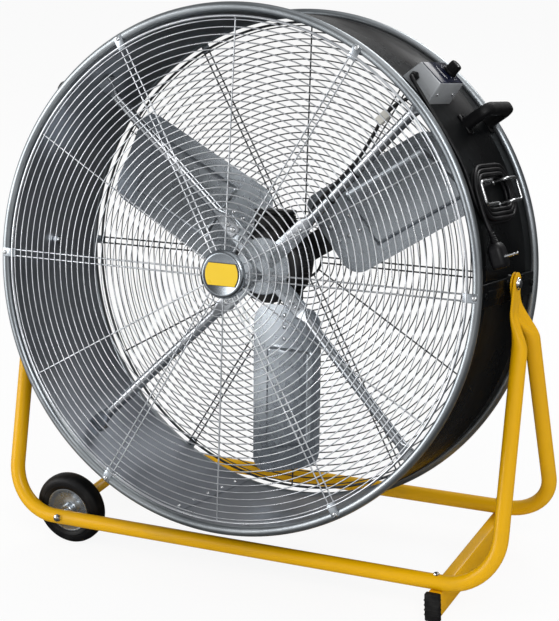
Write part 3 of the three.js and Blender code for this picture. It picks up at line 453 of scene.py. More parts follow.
route += [hook_place @ point for point in (
    lead_in + Vector((0, 0, 0.009)), lead_in, *turns, lead_out, lead_out - Vector((0, 0, 0.008)),
    Vector((lead_out.x + 0.0003, PLUG_Y, -0.038)), Vector((lead_out.x + 0.0016, PLUG_Y, -0.056)),
    Vector((PLUG_X, PLUG_Y, PLUG_TOP + 0.012)), Vector((PLUG_X, PLUG_Y, PLUG_TOP + 0.0003)))]
lead_line = smooth_line(route, 4)
lead_length = sum((b - a).length for a, b in zip(lead_line, lead_line[1:]))

lead_pvc = worn_finish("lead_pvc", (60, 4, 0.45, 0.75), (0.005, 0.005, 0.006), (0.012, 0.011, 0.013),
                       (0.30, 0.25, 220, 2), (900, 2, 0.0002, 0.4), Specular_IOR_Level=0.28)
lead_curve = bpy.data.curves.new("mains_lead", "CURVE")
lead_curve.dimensions = "3D"
lead_curve.bevel_depth = LEAD_R
lead_curve.bevel_resolution = 3
lead_curve.use_fill_caps = True
run = lead_curve.splines.new("POLY")
run.points.add(len(lead_line) - 1)
for point, where in zip(run.points, lead_line):
    point.co = (*where, 1)
lead_curve.materials.append(lead_pvc)
mains_lead = put_in("mains_lead", lead_curve, "drum", ("cord_stretch", "cord_coil", "cord_tail"))


# ---- Plug ------------------------------------------------------------------------------------
# A moulded plug in black PVC with a ribbed sleeve on the lead and two bright pins that point away
# from the drum.
plug_place = hook_place @ moved(PLUG_X, PLUG_Y, PLUG_TOP)
x_axis, y_axis, z_axis = axes(plug_place, (1, 0, 0), (0, 1, 0), (0, 0, 1))
shape = bmesh.new()
sleeve = [point for point in lead_line if (point - lead_line[-1]).length < 0.026]
sleeve = smooth_line([*sleeve, lead_line[-1] - 0.002 * z_axis], 6)
pipe(shape, sleeve, lambda share: 0.0046 + 0.003 * share + 0.0005 * cos(share * 6.5 * tau), 20)
loft(shape, [rounded_ring(plug_place @ Vector((0, 0, -drop)), x_axis, y_axis, half_x, half_y, 0.62, 36)
             for drop, half_x, half_y in (
                 (0, 0.0078, 0.009), (0.001, 0.0095, 0.0125), (0.005, 0.0125, 0.0172), (0.012, 0.0144, 0.0194),
                 (0.024, 0.015, 0.02), (0.038, 0.0149, 0.0196), (0.043, 0.0138, 0.018),
                 (0.0455, 0.0115, 0.0150), (0.046, 0.008, 0.011))])
plug_body = finished("plug_body", shape, lead_pvc, "drum", "black_plastic", "plug")

PIN_R, PIN_ROOT, PIN_TIP, PIN_SPACING, PIN_DROP = 0.0024, 0.012, 0.034, 0.019, 0.0276
plated_steel = worn_finish("plated_steel", (35, 4, 0.35, 0.7), (0.86, 0.87, 0.88), (0.66, 0.68, 0.7),
                           (0.14, 0.22, 90, 4), (400, 2, 0.0002, 0.25), Metallic=1.0)
shape = bmesh.new()
for side in (-1, 1):
    lathe(shape, [(0, PIN_ROOT), (PIN_R, PIN_ROOT), (PIN_R, PIN_TIP - 0.0012), (PIN_R * 0.7, PIN_TIP - 0.0003),
                  (0, PIN_TIP)], plug_place @ moved(0, side * PIN_SPACING / 2, -PIN_DROP) @ LATHE_OUT, 20)
plug_pins = finished("plug_pins", shape, plated_steel, "drum", "chrome")


# ---- Stand: two bent tubes -------------------------------------------------------------------
# Each is one length of 30 mm steel tube, bent to a wide U. Its two ends are pressed flat round
# the pivot bolt, which leaves a groove down the taper, and it is powder coated yellow.
TUBE_R = 0.015
FRAME_HALF_WIDTH = 0.527
FRAME_SPREAD = 0.177
LEG_RISE = 0.538
BEND_R = 0.1
FLAT_HALF_WIDE, FLAT_HALF_THICK = 0.021, 0.0025
FLAT_LENGTH, TAPER_LENGTH = 0.05, 0.072
TAPER_STEPS, BEND_STEPS = 14, 16
DENT, GROOVE = 0.0004, 0.0058
STRIP_X = {"front": 0.5101, "rear": 0.5048}
STAND_Y = PIVOT_DROP * sin(TILT)

yellow_paint, shader, place = start_finish("yellow_paint")
low_down = 1 - place.node("ShaderNodeSeparateXYZ", {0: place}, "Z").span(0.0, 0.16)
dust = grain(place, 18, 6).span(0.5, 0.75) * (0.12 + 0.3 * low_down)
chalk = grain(place, 4, 3).tint((0.70, 0.365, 0.001, 1), (0.78, 0.42, 0.002, 1))
feed(shader, Base_Color=dust.tint(chalk, (0.50, 0.29, 0.02, 1)), Specular_IOR_Level=0.3,
     Roughness=0.26 + 0.3 * dust + 0.08 * grain(place, 120, 3), Normal=relief(grain(place, 260, 2), 0.0004, 0.22))


def tube_section(centre, outward, across, half_thick, half_wide, round_share, groove, sides=32):
    """From a flattened tube, thicker at its folded edges, to a round one; grooved on its outside."""
    ring = []
    for k in range(sides):
        a, b = cos(tau * (k + 0.5) / sides), sin(tau * (k + 0.5) / sides)
        flat_a = copysign(abs(a) ** 0.42, a) * (0.8 + 0.2 * abs(b) ** 3)
        flat_b = copysign(abs(b) ** 0.75, b)
        thick = half_thick * (flat_a + (a - flat_a) * round_share)
        wide = half_wide * (flat_b + (b - flat_b) * round_share)
        if a > 0:
            thick -= groove * exp(-(b / 0.32) ** 2)
        ring.append(centre + outward * thick + across * wide)
    return ring


def bent_tube(side, strip_x):
    leg_length = hypot(FRAME_SPREAD, LEG_RISE)
    down = Vector((0, side * FRAME_SPREAD, -LEG_RISE)) / leg_length
    across = Vector((1, 0, 0)).cross(down)
    # Each row: across, down the leg, half thickness, half width, roundness, turn of the bend, groove.
    rows = [(strip_x, -FLAT_HALF_WIDE * sin(angle), FLAT_HALF_THICK * (0.6 + 0.4 * cos(angle)),
             FLAT_HALF_WIDE * cos(angle), 0, 0, 0) for angle in (radians(a) for a in range(84, 0, -7))]
    rows += [(strip_x, along, FLAT_HALF_THICK, FLAT_HALF_WIDE, 0, 0, DENT * (along > 0.012))
             for along in (0, 0.012, 0.025, FLAT_LENGTH - 0.008)]
    for i in range(TAPER_STEPS + 1):
        share = i / TAPER_STEPS
        ease = eased(share, 0, 1)
        rows.append((strip_x + (FRAME_HALF_WIDTH - strip_x) * ease, FLAT_LENGTH + share * TAPER_LENGTH,
                     FLAT_HALF_THICK + (TUBE_R - FLAT_HALF_THICK) * ease,
                     FLAT_HALF_WIDE + (TUBE_R - FLAT_HALF_WIDE) * ease, ease, 0,
                     GROOVE * sin(pi * min(1, share * 0.9 + 0.1)) ** 1.4 + DENT * (1 - share)))
    rows += [(FRAME_HALF_WIDTH - BEND_R * (1 - cos(turn)), leg_length - BEND_R * (1 - sin(turn)), TUBE_R, TUBE_R,
              1, turn, 0) for turn in quarter(BEND_STEPS)]

    def ring(hand, x, along, half_thick, half_wide, round_share, turn, groove):
        centre = Vector((hand * x, STAND_Y, PIVOT_HEIGHT)) + down * along
        outward = Vector((hand * cos(turn), 0, 0)) + down * sin(turn)
        return tube_section(centre, outward, across, half_thick, half_wide, round_share, groove)

    shape = bmesh.new()
    loft(shape, [ring(1, *row) for row in rows] + [ring(-1, *row) for row in rows[::-1]])
    return shape


for where, side in ENDS:
    finished(f"stand_tube_{where}", bent_tube(side, STRIP_X[where]), yellow_paint, "stand", "yellow_paint",
             f"{where}_frame_tube")


# ---- Stand: floor bar and rubber feet --------------------------------------------------------
# A 25 by 50 mm rectangular steel tube lies crosswise under the two round ones, screwed to them
# from above. A moulded rubber cap with four ribs on each end is what the fan stands on.
BAR_X, BAR_HALF_WIDTH, BAR_LOW, BAR_TOP, BAR_HALF_LENGTH = 0.412, 0.0125, 0.005, 0.055, 0.2
CAP_HALF_WIDTH, CAP_INNER, CAP_OUTER, CAP_TOP = 0.0148, 0.193, 0.2063, 0.0573
RIB_HALF_WIDTH, RIB_INNER, RIB_OUTER, RIB_HEIGHT = 0.0153, 0.1935, {"front": 0.2072, "rear": 0.2066}, 0.004
stand_place = moved(0, STAND_Y, 0)
shape = bmesh.new()
block(shape, stand_place, (BAR_X - BAR_HALF_WIDTH, -BAR_HALF_LENGTH, BAR_LOW),
      (BAR_X + BAR_HALF_WIDTH, BAR_HALF_LENGTH, BAR_TOP), 0.0035, 3)
finished("crosswise_bar", shape, yellow_paint, "stand", "yellow_paint", "floor_bar")

soft_rubber = worn_finish("soft_rubber", (30, 5, 0.4, 0.8), (0.006, 0.006, 0.0065), (0.022, 0.021, 0.02),
                          (0.62, 0.25, 70, 3), (700, 3, 0.0003, 0.5), Specular_IOR_Level=0.25)
for where, side in ENDS:
    shape = bmesh.new()
    block(shape, stand_place, (BAR_X - CAP_HALF_WIDTH, side * CAP_INNER, 0),
          (BAR_X + CAP_HALF_WIDTH, side * CAP_OUTER, CAP_TOP), 0.0032, 4)
    for level in (0.012, 0.022, 0.032, 0.042):
        block(shape, stand_place, (BAR_X - RIB_HALF_WIDTH, side * RIB_INNER, level),
              (BAR_X + RIB_HALF_WIDTH, side * RIB_OUTER[where], level + RIB_HEIGHT), 0.0015)
    finished(f"rubber_foot_{where}", shape, soft_rubber, "stand", "rubber", f"foot_cap_{where}")


# ---- Wheels ----------------------------------------------------------------------------------
# Solid black rubber tyres on pressed steel rims with a welded nave, loose on a plated axle rod
# that runs through both frame tubes and a yellow spacer tube.
WHEEL_R, RIM_R, WHEEL_X, WHEEL_OUT = 0.075, 0.047, -0.41, 0.1375
TYRE_HALF, SHOULDER, SHOULDER_REACH = 0.02, 0.014, 0.0135
tyre_black = worn_finish("tyre_black", (26, 6, 0.48, 0.78), (0.005, 0.005, 0.0055), (0.022, 0.021, 0.02),
                         (0.5, 0.3), (500, 3, 0.0004, 0.45), Specular_IOR_Level=0.25)

zinc_sheet, shader, place = start_finish("zinc_sheet")
flower = place.node("ShaderNodeTexVoronoi", {"Vector": place, "Scale": 85.0, "Randomness": 1.0}, "Color")
flake = place.node("ShaderNodeSeparateColor", {0: flower})
rolled = grain(place, 9, 5, (1, 1, 0.15))
zinc_tone = (flake * 0.12 + rolled * 0.88).span(0.25, 0.75).tint((0.36, 0.39, 0.42, 1), (0.52, 0.56, 0.60, 1))
feed(shader, Metallic=0.8, Base_Color=zinc_tone, Roughness=0.21 + 0.04 * flake + 0.08 * rolled,
     Normal=relief(grain(place, 9, 2), 0.0012, 0.2))

tyre_half = [(RIM_R, -0.016), (RIM_R + 0.003, -0.0188), (RIM_R + 0.008, -TYRE_HALF), (RIM_R + 0.0085, -0.0192),
             (RIM_R + 0.0105, -0.0192), (RIM_R + 0.011, -TYRE_HALF), (WHEEL_R - SHOULDER, -TYRE_HALF)]
tyre_half += [(WHEEL_R - SHOULDER + SHOULDER_REACH * sin(turn), -TYRE_HALF + SHOULDER - SHOULDER * cos(turn))
              for turn in (radians(a) for a in (15, 30, 45, 60, 75, 88))]
tyre_half += [(WHEEL_R, -0.0035)]
disc_half = [(0.0055, -0.022), (0.0115, -0.022), (0.013, -0.0205), (0.013, -0.008), (0.0145, -0.0062),
             (0.0185, -0.0055), (0.026, -0.0045), (0.031, -0.0058), (0.036, -0.0068), (0.0395, -0.009),
             (0.0425, -0.014), (0.0448, -0.0158), (0.0467, -0.0158)]
for where, side in ENDS:
    body = f"wheel_{where}"
    for name, half, finish, slot, node, sharp in (("tyre", tyre_half, tyre_black, "tyre_rubber", "tyre", 38),
                                                  ("wheel_disc", disc_half, zinc_sheet, "galvanised", "rim", 30)):
        shape = bmesh.new()
        lathe(shape, both_sides(half), moved(WHEEL_X, STAND_Y + side * WHEEL_OUT, WHEEL_R), 96, ring=True)
        finished(f"{name}_{where}", shape, finish, body, slot, f"{body}_{node}", sharp=sharp)


# ---- Drum ------------------------------------------------------------------------------------
# A band of zinc-coated sheet, painted black outside and left bare inside, with a riveted lap seam
# and a rolled, zinc-coated rim on each edge.
SHELL_HALF = 0.1544
SKIN_INNER, LINING_INNER = 0.4866, 0.485
BEAD_RISE = 0.0012
SEAM_CLOCK, SEAM_HALF, LAP_HALF = 257.0, 0.152, 0.014
RIM_Y, RIM_CENTRE, RIM_BEAD, RIM_SIDES = 0.1625, 0.491, 0.009, 20
DRUM_MIDDLE = 0.5965
black_paint = worn_finish("black_paint", (7, 5, 0.4, 0.75), (0.0030, 0.0034, 0.0038), (0.0075, 0.008, 0.0085),
                          (0.26, 0.22), (45, 3, 0.0012, 0.2), Specular_IOR_Level=0.06)
shape = bmesh.new()
lathe(shape, both_sides([(SKIN_INNER, -SHELL_HALF), (SHELL_R - 0.0004, -SHELL_HALF), (SHELL_R, -SHELL_HALF + 0.001),
                         (SHELL_R, -0.118), (SHELL_R + BEAD_RISE, -0.115), (SHELL_R + BEAD_RISE, -0.109),
                         (SHELL_R, -0.106)]), drum_place, 192, ring=True)
finished("drum_skin", shape, black_paint, "drum", "black_paint", "drum_shell")

drum_zinc, shader, place = start_finish("drum_zinc")
from_axis = place.node("ShaderNodeMapping", {"Vector": place, "Location": (0, 0, -DRUM_MIDDLE)})
streak = grain(from_axis, 5, 6, (1.2, 0.35, 1.2))
cloud = grain(place, 2.2, 4)
bare = (streak * 0.6 + cloud * 0.4).span(0.3, 0.7).tint((0.14, 0.155, 0.18, 1), (0.36, 0.385, 0.43, 1))
brown = grain(place, 3.1, 3, (1, 0.4, 1)).span(0.52, 0.7) * 0.45
feed(shader, Metallic=0.8, Base_Color=brown.tint(bare, (0.22, 0.175, 0.13, 1)), Roughness=0.25 + 0.2 * streak,
     Normal=relief(cloud, 0.004, 0.15))
shape = bmesh.new()
lathe(shape, both_sides([(LINING_INNER, -SHELL_HALF), (SKIN_INNER, -SHELL_HALF)]), drum_place, 192, ring=True)
seam_place = at_clock(SEAM_CLOCK)
block(shape, seam_place, (LINING_INNER - 0.0012, -SEAM_HALF, -LAP_HALF), (LINING_INNER + 0.001, SEAM_HALF, LAP_HALF),
      0.0005, 1)
finished("drum_lining", shape, drum_zinc, "drum", "galvanised", sharp=25)

rim_zinc = worn_finish("rim_zinc", (6, 5, 0.3, 0.7), (0.27, 0.295, 0.315), (0.42, 0.45, 0.47),
                       (0.24, 0.2, 6, 5), (30, 3, 0.001, 0.2), Metallic=0.9)
for where, side in ENDS:
    shape = bmesh.new()
    lathe(shape, [(RIM_CENTRE + RIM_BEAD * cos(tau * k / RIM_SIDES), side * RIM_Y + RIM_BEAD * sin(tau * k / RIM_SIDES))
                  for k in range(RIM_SIDES)], drum_place, 240, ring=True)
    finished(f"rolled_rim_{where}", shape, rim_zinc, "drum", "galvanised", f"{where}_rim")


# ---- Guards ----------------------------------------------------------------------------------
# Welded steel wire: fine rings 13 mm apart on six pairs of spokes, that end under the clips, and
# six single ones between. The front guard is bright plated; the rear one is zinc, coloured near black as painted shade.
def new_growth(name, sockets):
    """A geometry tree with named inputs, and its input node as a wire for each."""
    tree = bpy.data.node_groups.new(name, "GeometryNodeTree")
    for label, kind in sockets.items():
        tree.interface.new_socket(label, in_out="INPUT", socket_type=f"NodeSocket{kind}")
    tree.interface.new_socket("Geometry", in_out="OUTPUT", socket_type="NodeSocketGeometry")
    entry = tree.nodes.new("NodeGroupInput")
    return tree, {label: Wire(tree, entry.outputs[label]) for label in sockets}


def many(wire, count):
    """That many points, all in one place."""
    return wire.node("GeometryNodeMeshLine", {"Count": count, "Offset": (0.0, 0.0, 0.0)})


def shape_of(wire):
    """What an object that goes into the tree looks like."""
    return wire.node("GeometryNodeObjectInfo", {"Object": wire}, "Geometry")


def copies(points, instance, **laid):
    return points.node("GeometryNodeInstanceOnPoints", {"Points": points, "Instance": instance, **laid})


def end_growth(tree, grown, finish):
    """Closes a tree: real geometry, smooth, with its finish."""
    real = grown.node("GeometryNodeRealizeInstances", {0: grown})
    soft = real.node("GeometryNodeSetShadeSmooth", {0: real})
    laid = soft.node("GeometryNodeSetMaterial", {"Geometry": soft, "Material": finish})
    tree.links.new(laid.output, tree.nodes.new("NodeGroupOutput").inputs[0])


def grow(tree, values):
    """Runs a tree on an empty mesh and gives back what grew as a plain mesh."""
    carrier = linked("carrier", bpy.data.meshes.new("empty"))
    growth = carrier.modifiers.new("growth", "NODES")
    growth.node_group = tree
    for item in tree.interface.items_tree:
        if item.in_out == "INPUT" and item.name in values:
            growth[item.identifier] = values[item.name]
    carrier.update_tag()
    depsgraph = bpy.context.evaluated_depsgraph_get()
    depsgraph.update()
    mesh = bpy.data.meshes.new_from_object(carrier.evaluated_get(depsgraph), depsgraph=depsgraph)
    carrier.modifiers.clear()
    bpy.data.objects.remove(carrier)
    return mesh


def grown_piece(name, mesh, place, body, slot, *replaced, sharp=None):
    mesh.transform(place)
    if sharp:
        mesh.set_sharp_from_angle(angle=radians(sharp))
    put_in(name, mesh, body, replaced)


GUARD_BACK = 0.1663
GUARD_VALUES = {"Rings": 32, "First ring": 0.055, "Ring step": 0.0133, "Ring wire": 0.00125, "Spoke wire": 0.0016,
                "Rim wire": 0.0026, "Reach": 0.474, "Middle": 0.039, "Rise": 0.009, "Pair gap": 0.012}


def guard_tree(finish):
    tree, of = new_growth("welded_guard", {label: "Int" if label == "Rings" else "Float" for label in GUARD_VALUES})
    index = of["Rings"].node("GeometryNodeInputIndex")
    middle, reach = of["Middle"], of["Reach"]

    def level(radius):
        return of["Rise"] * (1 - radius.maths("DIVIDE", radius, reach))

    def drawn(line, wire, sides):
        line = line.node("GeometryNodeRealizeInstances", {0: line})
        section = line.node("GeometryNodeCurvePrimitiveCircle", {"Resolution": sides, "Radius": wire})
        return line.node("GeometryNodeCurveToMesh", {"Curve": line, "Profile Curve": section, "Fill Caps": True})

    def rings(count, radius, wire, sides, steps):
        lift = index.vector(z=level(radius) + of["Spoke wire"] * 2 + of["Ring wire"] * 0.7)
        dots = index.node("GeometryNodeSetPosition", {"Geometry": many(index, count), "Position": lift})
        circle = dots.node("GeometryNodeCurvePrimitiveCircle", {"Resolution": steps, "Radius": 1.0})
        return drawn(copies(dots, circle, Scale=index.vector(radius, radius, 1.0)), wire, sides)

    def spokes(offset, first_turn):
        line = index.node("GeometryNodeCurvePrimitiveLine", {
            "Start": index.vector(middle, offset, level(middle) + of["Spoke wire"]),
            "End": index.vector(reach, offset, level(reach) + of["Spoke wire"])})
        turn = index.node("FunctionNodeEulerToRotation", {"Euler": index.vector(z=index * (tau / 6) + first_turn)})
        return drawn(copies(many(index, 6), line, Rotation=turn), of["Spoke wire"], 8)

    parts = [rings(of["Rings"], of["First ring"] + of["Ring step"] * index, of["Ring wire"], 6, 120),
             rings(1, reach, of["Rim wire"], 10, 180), rings(1, middle, of["Rim wire"], 8, 60),
             spokes(of["Pair gap"] * 0.5, 0.0), spokes(of["Pair gap"] * -0.5, 0.0), spokes(0.0, tau / 12)]
    joined = tree.nodes.new("GeometryNodeJoinGeometry")
    for part in parts[::-1]:
        tree.links.new(part.output, joined.inputs[0])
    end_growth(tree, Wire(tree, joined.outputs[0]), finish)
    return tree


guard_plating = worn_finish("guard_plating", (14, 4, 0.3, 0.7), (0.74, 0.76, 0.79), (0.50, 0.52, 0.55),
                            (0.20, 0.2, 14, 4), (500, 2, 0.0002, 0.2), Metallic=0.95)
# The rear guard's near-black colour is painted shade: bare zinc is far lighter than this.
rear_guard_zinc_painted_shade = worn_finish("rear_guard_zinc_painted_shade", (14, 4, 0.3, 0.7), (0.10, 0.105, 0.11), (0.055, 0.06, 0.065),
                         (0.32, 0.2, 14, 4), (500, 2, 0.0002, 0.2), Metallic=0.9)
for (where, side), finish, slot in zip(ENDS, (guard_plating, rear_guard_zinc_painted_shade), ("chrome", "galvanised")):
    out = drum_place @ moved(0, side * GUARD_BACK, 0) @ Matrix.Rotation(-side * pi / 2, 4, "X")
    grown_piece(f"wire_guard_{where}", grow(guard_tree(finish), GUARD_VALUES), out, "drum", slot, f"{where}_guard")

CLIP_FACE, CLIP_INNER, CLIP_OUTER, CLIP_HALF = 0.1707, 0.4695, 0.4945, 0.0085
screw_seats = []
for where, side in ENDS:
    shape = bmesh.new()
    for i in range(6):
        clip = at_clock(60 * i if side > 0 else 180 - 60 * i)
        block(shape, clip, (CLIP_INNER, side * CLIP_FACE, -CLIP_HALF),
              (CLIP_OUTER, side * (CLIP_FACE + 0.0019), CLIP_HALF), 0.0008)
        block(shape, clip, (CLIP_INNER - 0.0008, side * (CLIP_FACE - 0.0045), -CLIP_HALF),
              (CLIP_INNER + 0.0010, side * (CLIP_FACE + 0.0015), CLIP_HALF), 0.0006)
        screw_seats.append(seat_at(clip, (RIM_CENTRE - 0.001, side * (CLIP_FACE + 0.0018), 0), (0, side, 0), 0.0046))
    finished(f"guard_clips_{where}", shape, zinc_sheet, "drum", "chrome",
             *[f"{where}_guard_clip_{i + 1}" for i in range(6)])


# ---- Badge -----------------------------------------------------------------------------------
# A pressed disc with a bevelled edge covers the middle of the front guard. The plate glued on it
# is left plain yellow, with round ends and a fine dark border.
LABEL_BULGE, LABEL_STEPS = 0.0065, 10
badge_place = drum_place @ Matrix.Rotation(pi, 4, "Z")
badge_steel = worn_finish("badge_steel", (40, 3), (0.38, 0.41, 0.44), (0.28, 0.31, 0.34),
                          (0.16, 0.18, 25, 3), (300, 2, 0.0002, 0.2), Metallic=0.95)
shape = bmesh.new()
lathe(shape, [(0, 0.1788), (0.0455, 0.1788), (0.0460, 0.1795), (0.0458, 0.1812), (0.0425, 0.1850), (0.0405, 0.1862),
              (0.0385, 0.1868), (0.0372, 0.1860), (0.0, 0.1860)], badge_place, 128)
finished("badge_dish", shape, badge_steel, "drum", "chrome", "badge_disc", sharp=50)

label_yellow = worn_finish("label_yellow", (25, 3), (0.78, 0.52, 0.004), (0.72, 0.47, 0.006), (0.22, 0.15, 60, 3),
                           Coat_Weight=lambda place, share: 0.5 - 0.1 * grain(place, 50, 2))
label_edge = worn_finish("label_edge", (80, 3), (0.02, 0.02, 0.02), (0.04, 0.04, 0.04), (0.3, 0.2, 60, 3))


def barrel(half_wide, half_high, level):
    """A label's outline: level top and bottom, round ends."""
    shares = [2 * i / LABEL_STEPS - 1 for i in range(LABEL_STEPS + 1)]
    return [badge_place @ Vector((hand * (half_wide - LABEL_BULGE * share * share), level, hand * half_high * share))
            for hand in (1, -1) for share in shares]


shape = bmesh.new()
loft(shape, [barrel(0.0352, 0.0218, 0.1861), barrel(0.0352, 0.0218, 0.1868), barrel(0.0347, 0.0213, 0.1871)], paint=1)
loft(shape, [barrel(0.0342, 0.0208, 0.1862), barrel(0.0342, 0.0208, 0.1874), barrel(0.0338, 0.0204, 0.18775)])
finished("plain_label", shape, [label_yellow, label_edge], "drum", "label", "badge_label", sharp=30)


# ---- Motor and its struts --------------------------------------------------------------------
# A totally enclosed motor with cast end shields and cooling fins, on a cross-shaped bracket. Four
# zinc-coated tubes with flattened ends carry the bracket from the drum's wall.
MOTOR_R, MOTOR_FRONT, MOTOR_BACK = 0.074, -0.008, 0.078
motor_paint = worn_finish("motor_paint", (30, 5, 0.4, 0.75), (0.012, 0.012, 0.013), (0.035, 0.034, 0.033),
                          (0.38, 0.25), (350, 3, 0.0004, 0.4), Metallic=lambda place, share: 0.25 - 0.1 * share)
front_shield = ((0, 0), (0.030, 0), (0.034, 0.002), (0.052, 0.003), (0.066, 0.008), (0.0732, 0.015), (MOTOR_R, 0.018),
                (MOTOR_R, 0.021), (0.0725, 0.0225), (0.0675, 0.0230))
back_shield = ((0.0675, 0.0230), (0.0725, 0.0225), (MOTOR_R, 0.021), (MOTOR_R, 0.017), (0.070, 0.009), (0.058, 0.004),
               (0.030, 0.002), (0.024, 0), (0, 0))
shape = bmesh.new()
lathe(shape, [(r, MOTOR_FRONT + deep) for r, deep in front_shield]
      + [(r, MOTOR_BACK - deep) for r, deep in back_shield], drum_place, 96)
finished("motor_body", shape, motor_paint, "drum", "motor_paint", "motor")

fins_tree, of = new_growth("round_row", {"Count": "Int", "Radius": "Float", "Part": "Object", "Finish": "Material"})
angle = of["Count"].node("GeometryNodeInputIndex") * tau * of["Count"] ** -1
dots = angle.node("GeometryNodeSetPosition", {"Geometry": many(angle, of["Count"]), "Position": angle.vector(
    x=of["Radius"] * angle.maths("COSINE", angle, 0.0), z=of["Radius"] * angle.maths("SINE", angle, 0.0))})
turned = angle.node("FunctionNodeEulerToRotation", {"Euler": angle.vector(y=angle * -1)})
end_growth(fins_tree, copies(dots, shape_of(of["Part"]), Rotation=turned), of["Finish"])


def loose_part(shape):
    """A shape to be repeated; it is not a piece itself and is taken away once it has been used."""
    bmesh.ops.recalc_face_normals(shape, faces=shape.faces)
    mesh = bpy.data.meshes.new("loose_part")
    shape.to_mesh(mesh)
    shape.free()
    return linked("loose_part", mesh)


FIN_COUNT, FIN_CIRCLE, FIN_HALF, FIN_INSET = 36, 0.068, 0.0011, 0.022
shape = bmesh.new()
block(shape, Matrix.Identity(4), (-0.004, MOTOR_FRONT + FIN_INSET, -FIN_HALF),
      (0.0055, MOTOR_BACK - FIN_INSET, FIN_HALF), 0.0008, 1)
fin = loose_part(shape)
fins = grow(fins_tree, {"Count": FIN_COUNT, "Radius": FIN_CIRCLE, "Part": fin, "Finish": motor_paint})
grown_piece("motor_fins", fins, drum_place, "drum", "motor_paint", sharp=40)
bpy.data.objects.remove(fin)

BRACKET_FRONT, BRACKET_BACK = -0.0133, -0.0083
STRUT_CLOCKS = (135, 45, -43, -134)
shape = bmesh.new()
lathe(shape, [(0, BRACKET_FRONT), (0.0545, BRACKET_FRONT), (0.056, BRACKET_FRONT + 0.001),
              (0.056, BRACKET_BACK - 0.001), (0.0545, BRACKET_BACK), (0, BRACKET_BACK)], drum_place, 72)
for clock in STRUT_CLOCKS:
    block(shape, at_clock(clock), (0.01, BRACKET_FRONT, -0.017), (0.118, BRACKET_BACK, 0.017), 0.0012)
    block(shape, at_clock(clock), (0.05, BRACKET_FRONT, -0.0055), (0.076, BRACKET_FRONT + 0.0012, 0.0055), 0.0005, 1)
finished("cross_bracket", shape, zinc_sheet, "drum", "galvanised", "motor_bracket", sharp=30)

STRUT_R, STRUT_FLAT_HALF, STRUT_FLAT_WIDE = 0.010, 0.002, 0.015
STRUT_FLAT_Y, STRUT_WALL_Y, STRUT_BENDS, STRUT_MEETS, STRUT_FOOT = -0.0156, -0.065, 0.144, 0.4779, 0.4839
strut_zinc = worn_finish("strut_zinc", (12, 5, 0.3, 0.7), (0.40, 0.43, 0.46), (0.60, 0.62, 0.65),
                         (0.16, 0.2, 12, 5), (60, 3, 0.0006, 0.25), Metallic=0.95)


def strut_y(x):
    """A strut's place along the drum's axis: level by the motor, then forward to the wall."""
    return STRUT_FLAT_Y + (STRUT_WALL_Y - STRUT_FLAT_Y) * max(0, (x - STRUT_BENDS) / (STRUT_MEETS - STRUT_BENDS))


for i, clock in enumerate(STRUT_CLOCKS):
    arm = at_clock(clock)
    along, across = axes(arm, (0, 1, 0), (0, 0, 1))
    rings = []
    for x, share in ((0.084, 0), (0.0848, 0), (0.100, 0), (0.118, 0), (0.123, 0.12), (0.129, 0.38), (0.135, 0.7),
                     (0.141, 0.93), (0.147, 1), (0.30, 1), (0.438, 1), (0.444, 0.93), (0.450, 0.7), (0.456, 0.38),
                     (0.462, 0.12), (0.468, 0), (0.4808, 0)):
        half_thick = STRUT_FLAT_HALF + (STRUT_R - STRUT_FLAT_HALF) * share
        half_wide = (STRUT_FLAT_WIDE + (STRUT_R - STRUT_FLAT_WIDE) * share) * (0.9 if x == 0.084 else 1)
        rings.append(rounded_ring(arm @ Vector((x, strut_y(x), 0)), along, across, half_thick, half_wide,
                                  0.55 + 0.45 * share, 24))
    shape = bmesh.new()
    loft(shape, rings)
    block(shape, arm, (0.4798, STRUT_WALL_Y - 0.002, -0.015), (STRUT_FOOT, STRUT_WALL_Y + 0.028, 0.015), 0.0012)
    finished(f"strut_{i + 1}", shape, strut_zinc, "drum", "galvanised", f"motor_strut_{i + 1}")
    screw_seats += [seat_at(arm, (x, STRUT_FLAT_Y - 0.002, 0), (0, -1, 0), 0.0055) for x in (0.093, 0.108)]
    screw_seats += [seat_at(arm, (0.4799, STRUT_WALL_Y + 0.016, z), (-1, 0, 0), 0.0045) for z in (-0.008, 0.008)]

matt_plastic = worn_finish("matt_plastic", (24, 4, 0.45, 0.8), (0.0035, 0.0035, 0.004), (0.009, 0.009, 0.0095),
                           (0.42, 0.2), (1100, 2, 0.0002, 0.5), Specular_IOR_Level=0.2)
shape = bmesh.new()
block(shape, drum_place, (-0.035, 0.012, 0.066), (0.035, 0.058, 0.098), 0.003, 3)
block(shape, drum_place, (-0.0358, 0.0112, 0.0985), (0.0358, 0.0588, 0.108), 0.003, 3)
lathe(shape, [(0, 0.030), (0.0085, 0.030), (0.0085, 0.043), (0.007, 0.047), (0, 0.047)],
      drum_place @ moved(0, 0.035, 0.084) @ LATHE_OUT, 6)
finished("terminal_cover", shape, matt_plastic, "drum", "black_plastic", "terminal_box")
screw_seats += [seat_at(drum_place, (x, y, 0.1078), (0, 0, 1), 0.003) for x in (-0.029, 0.029) for y in (0.018, 0.052)]

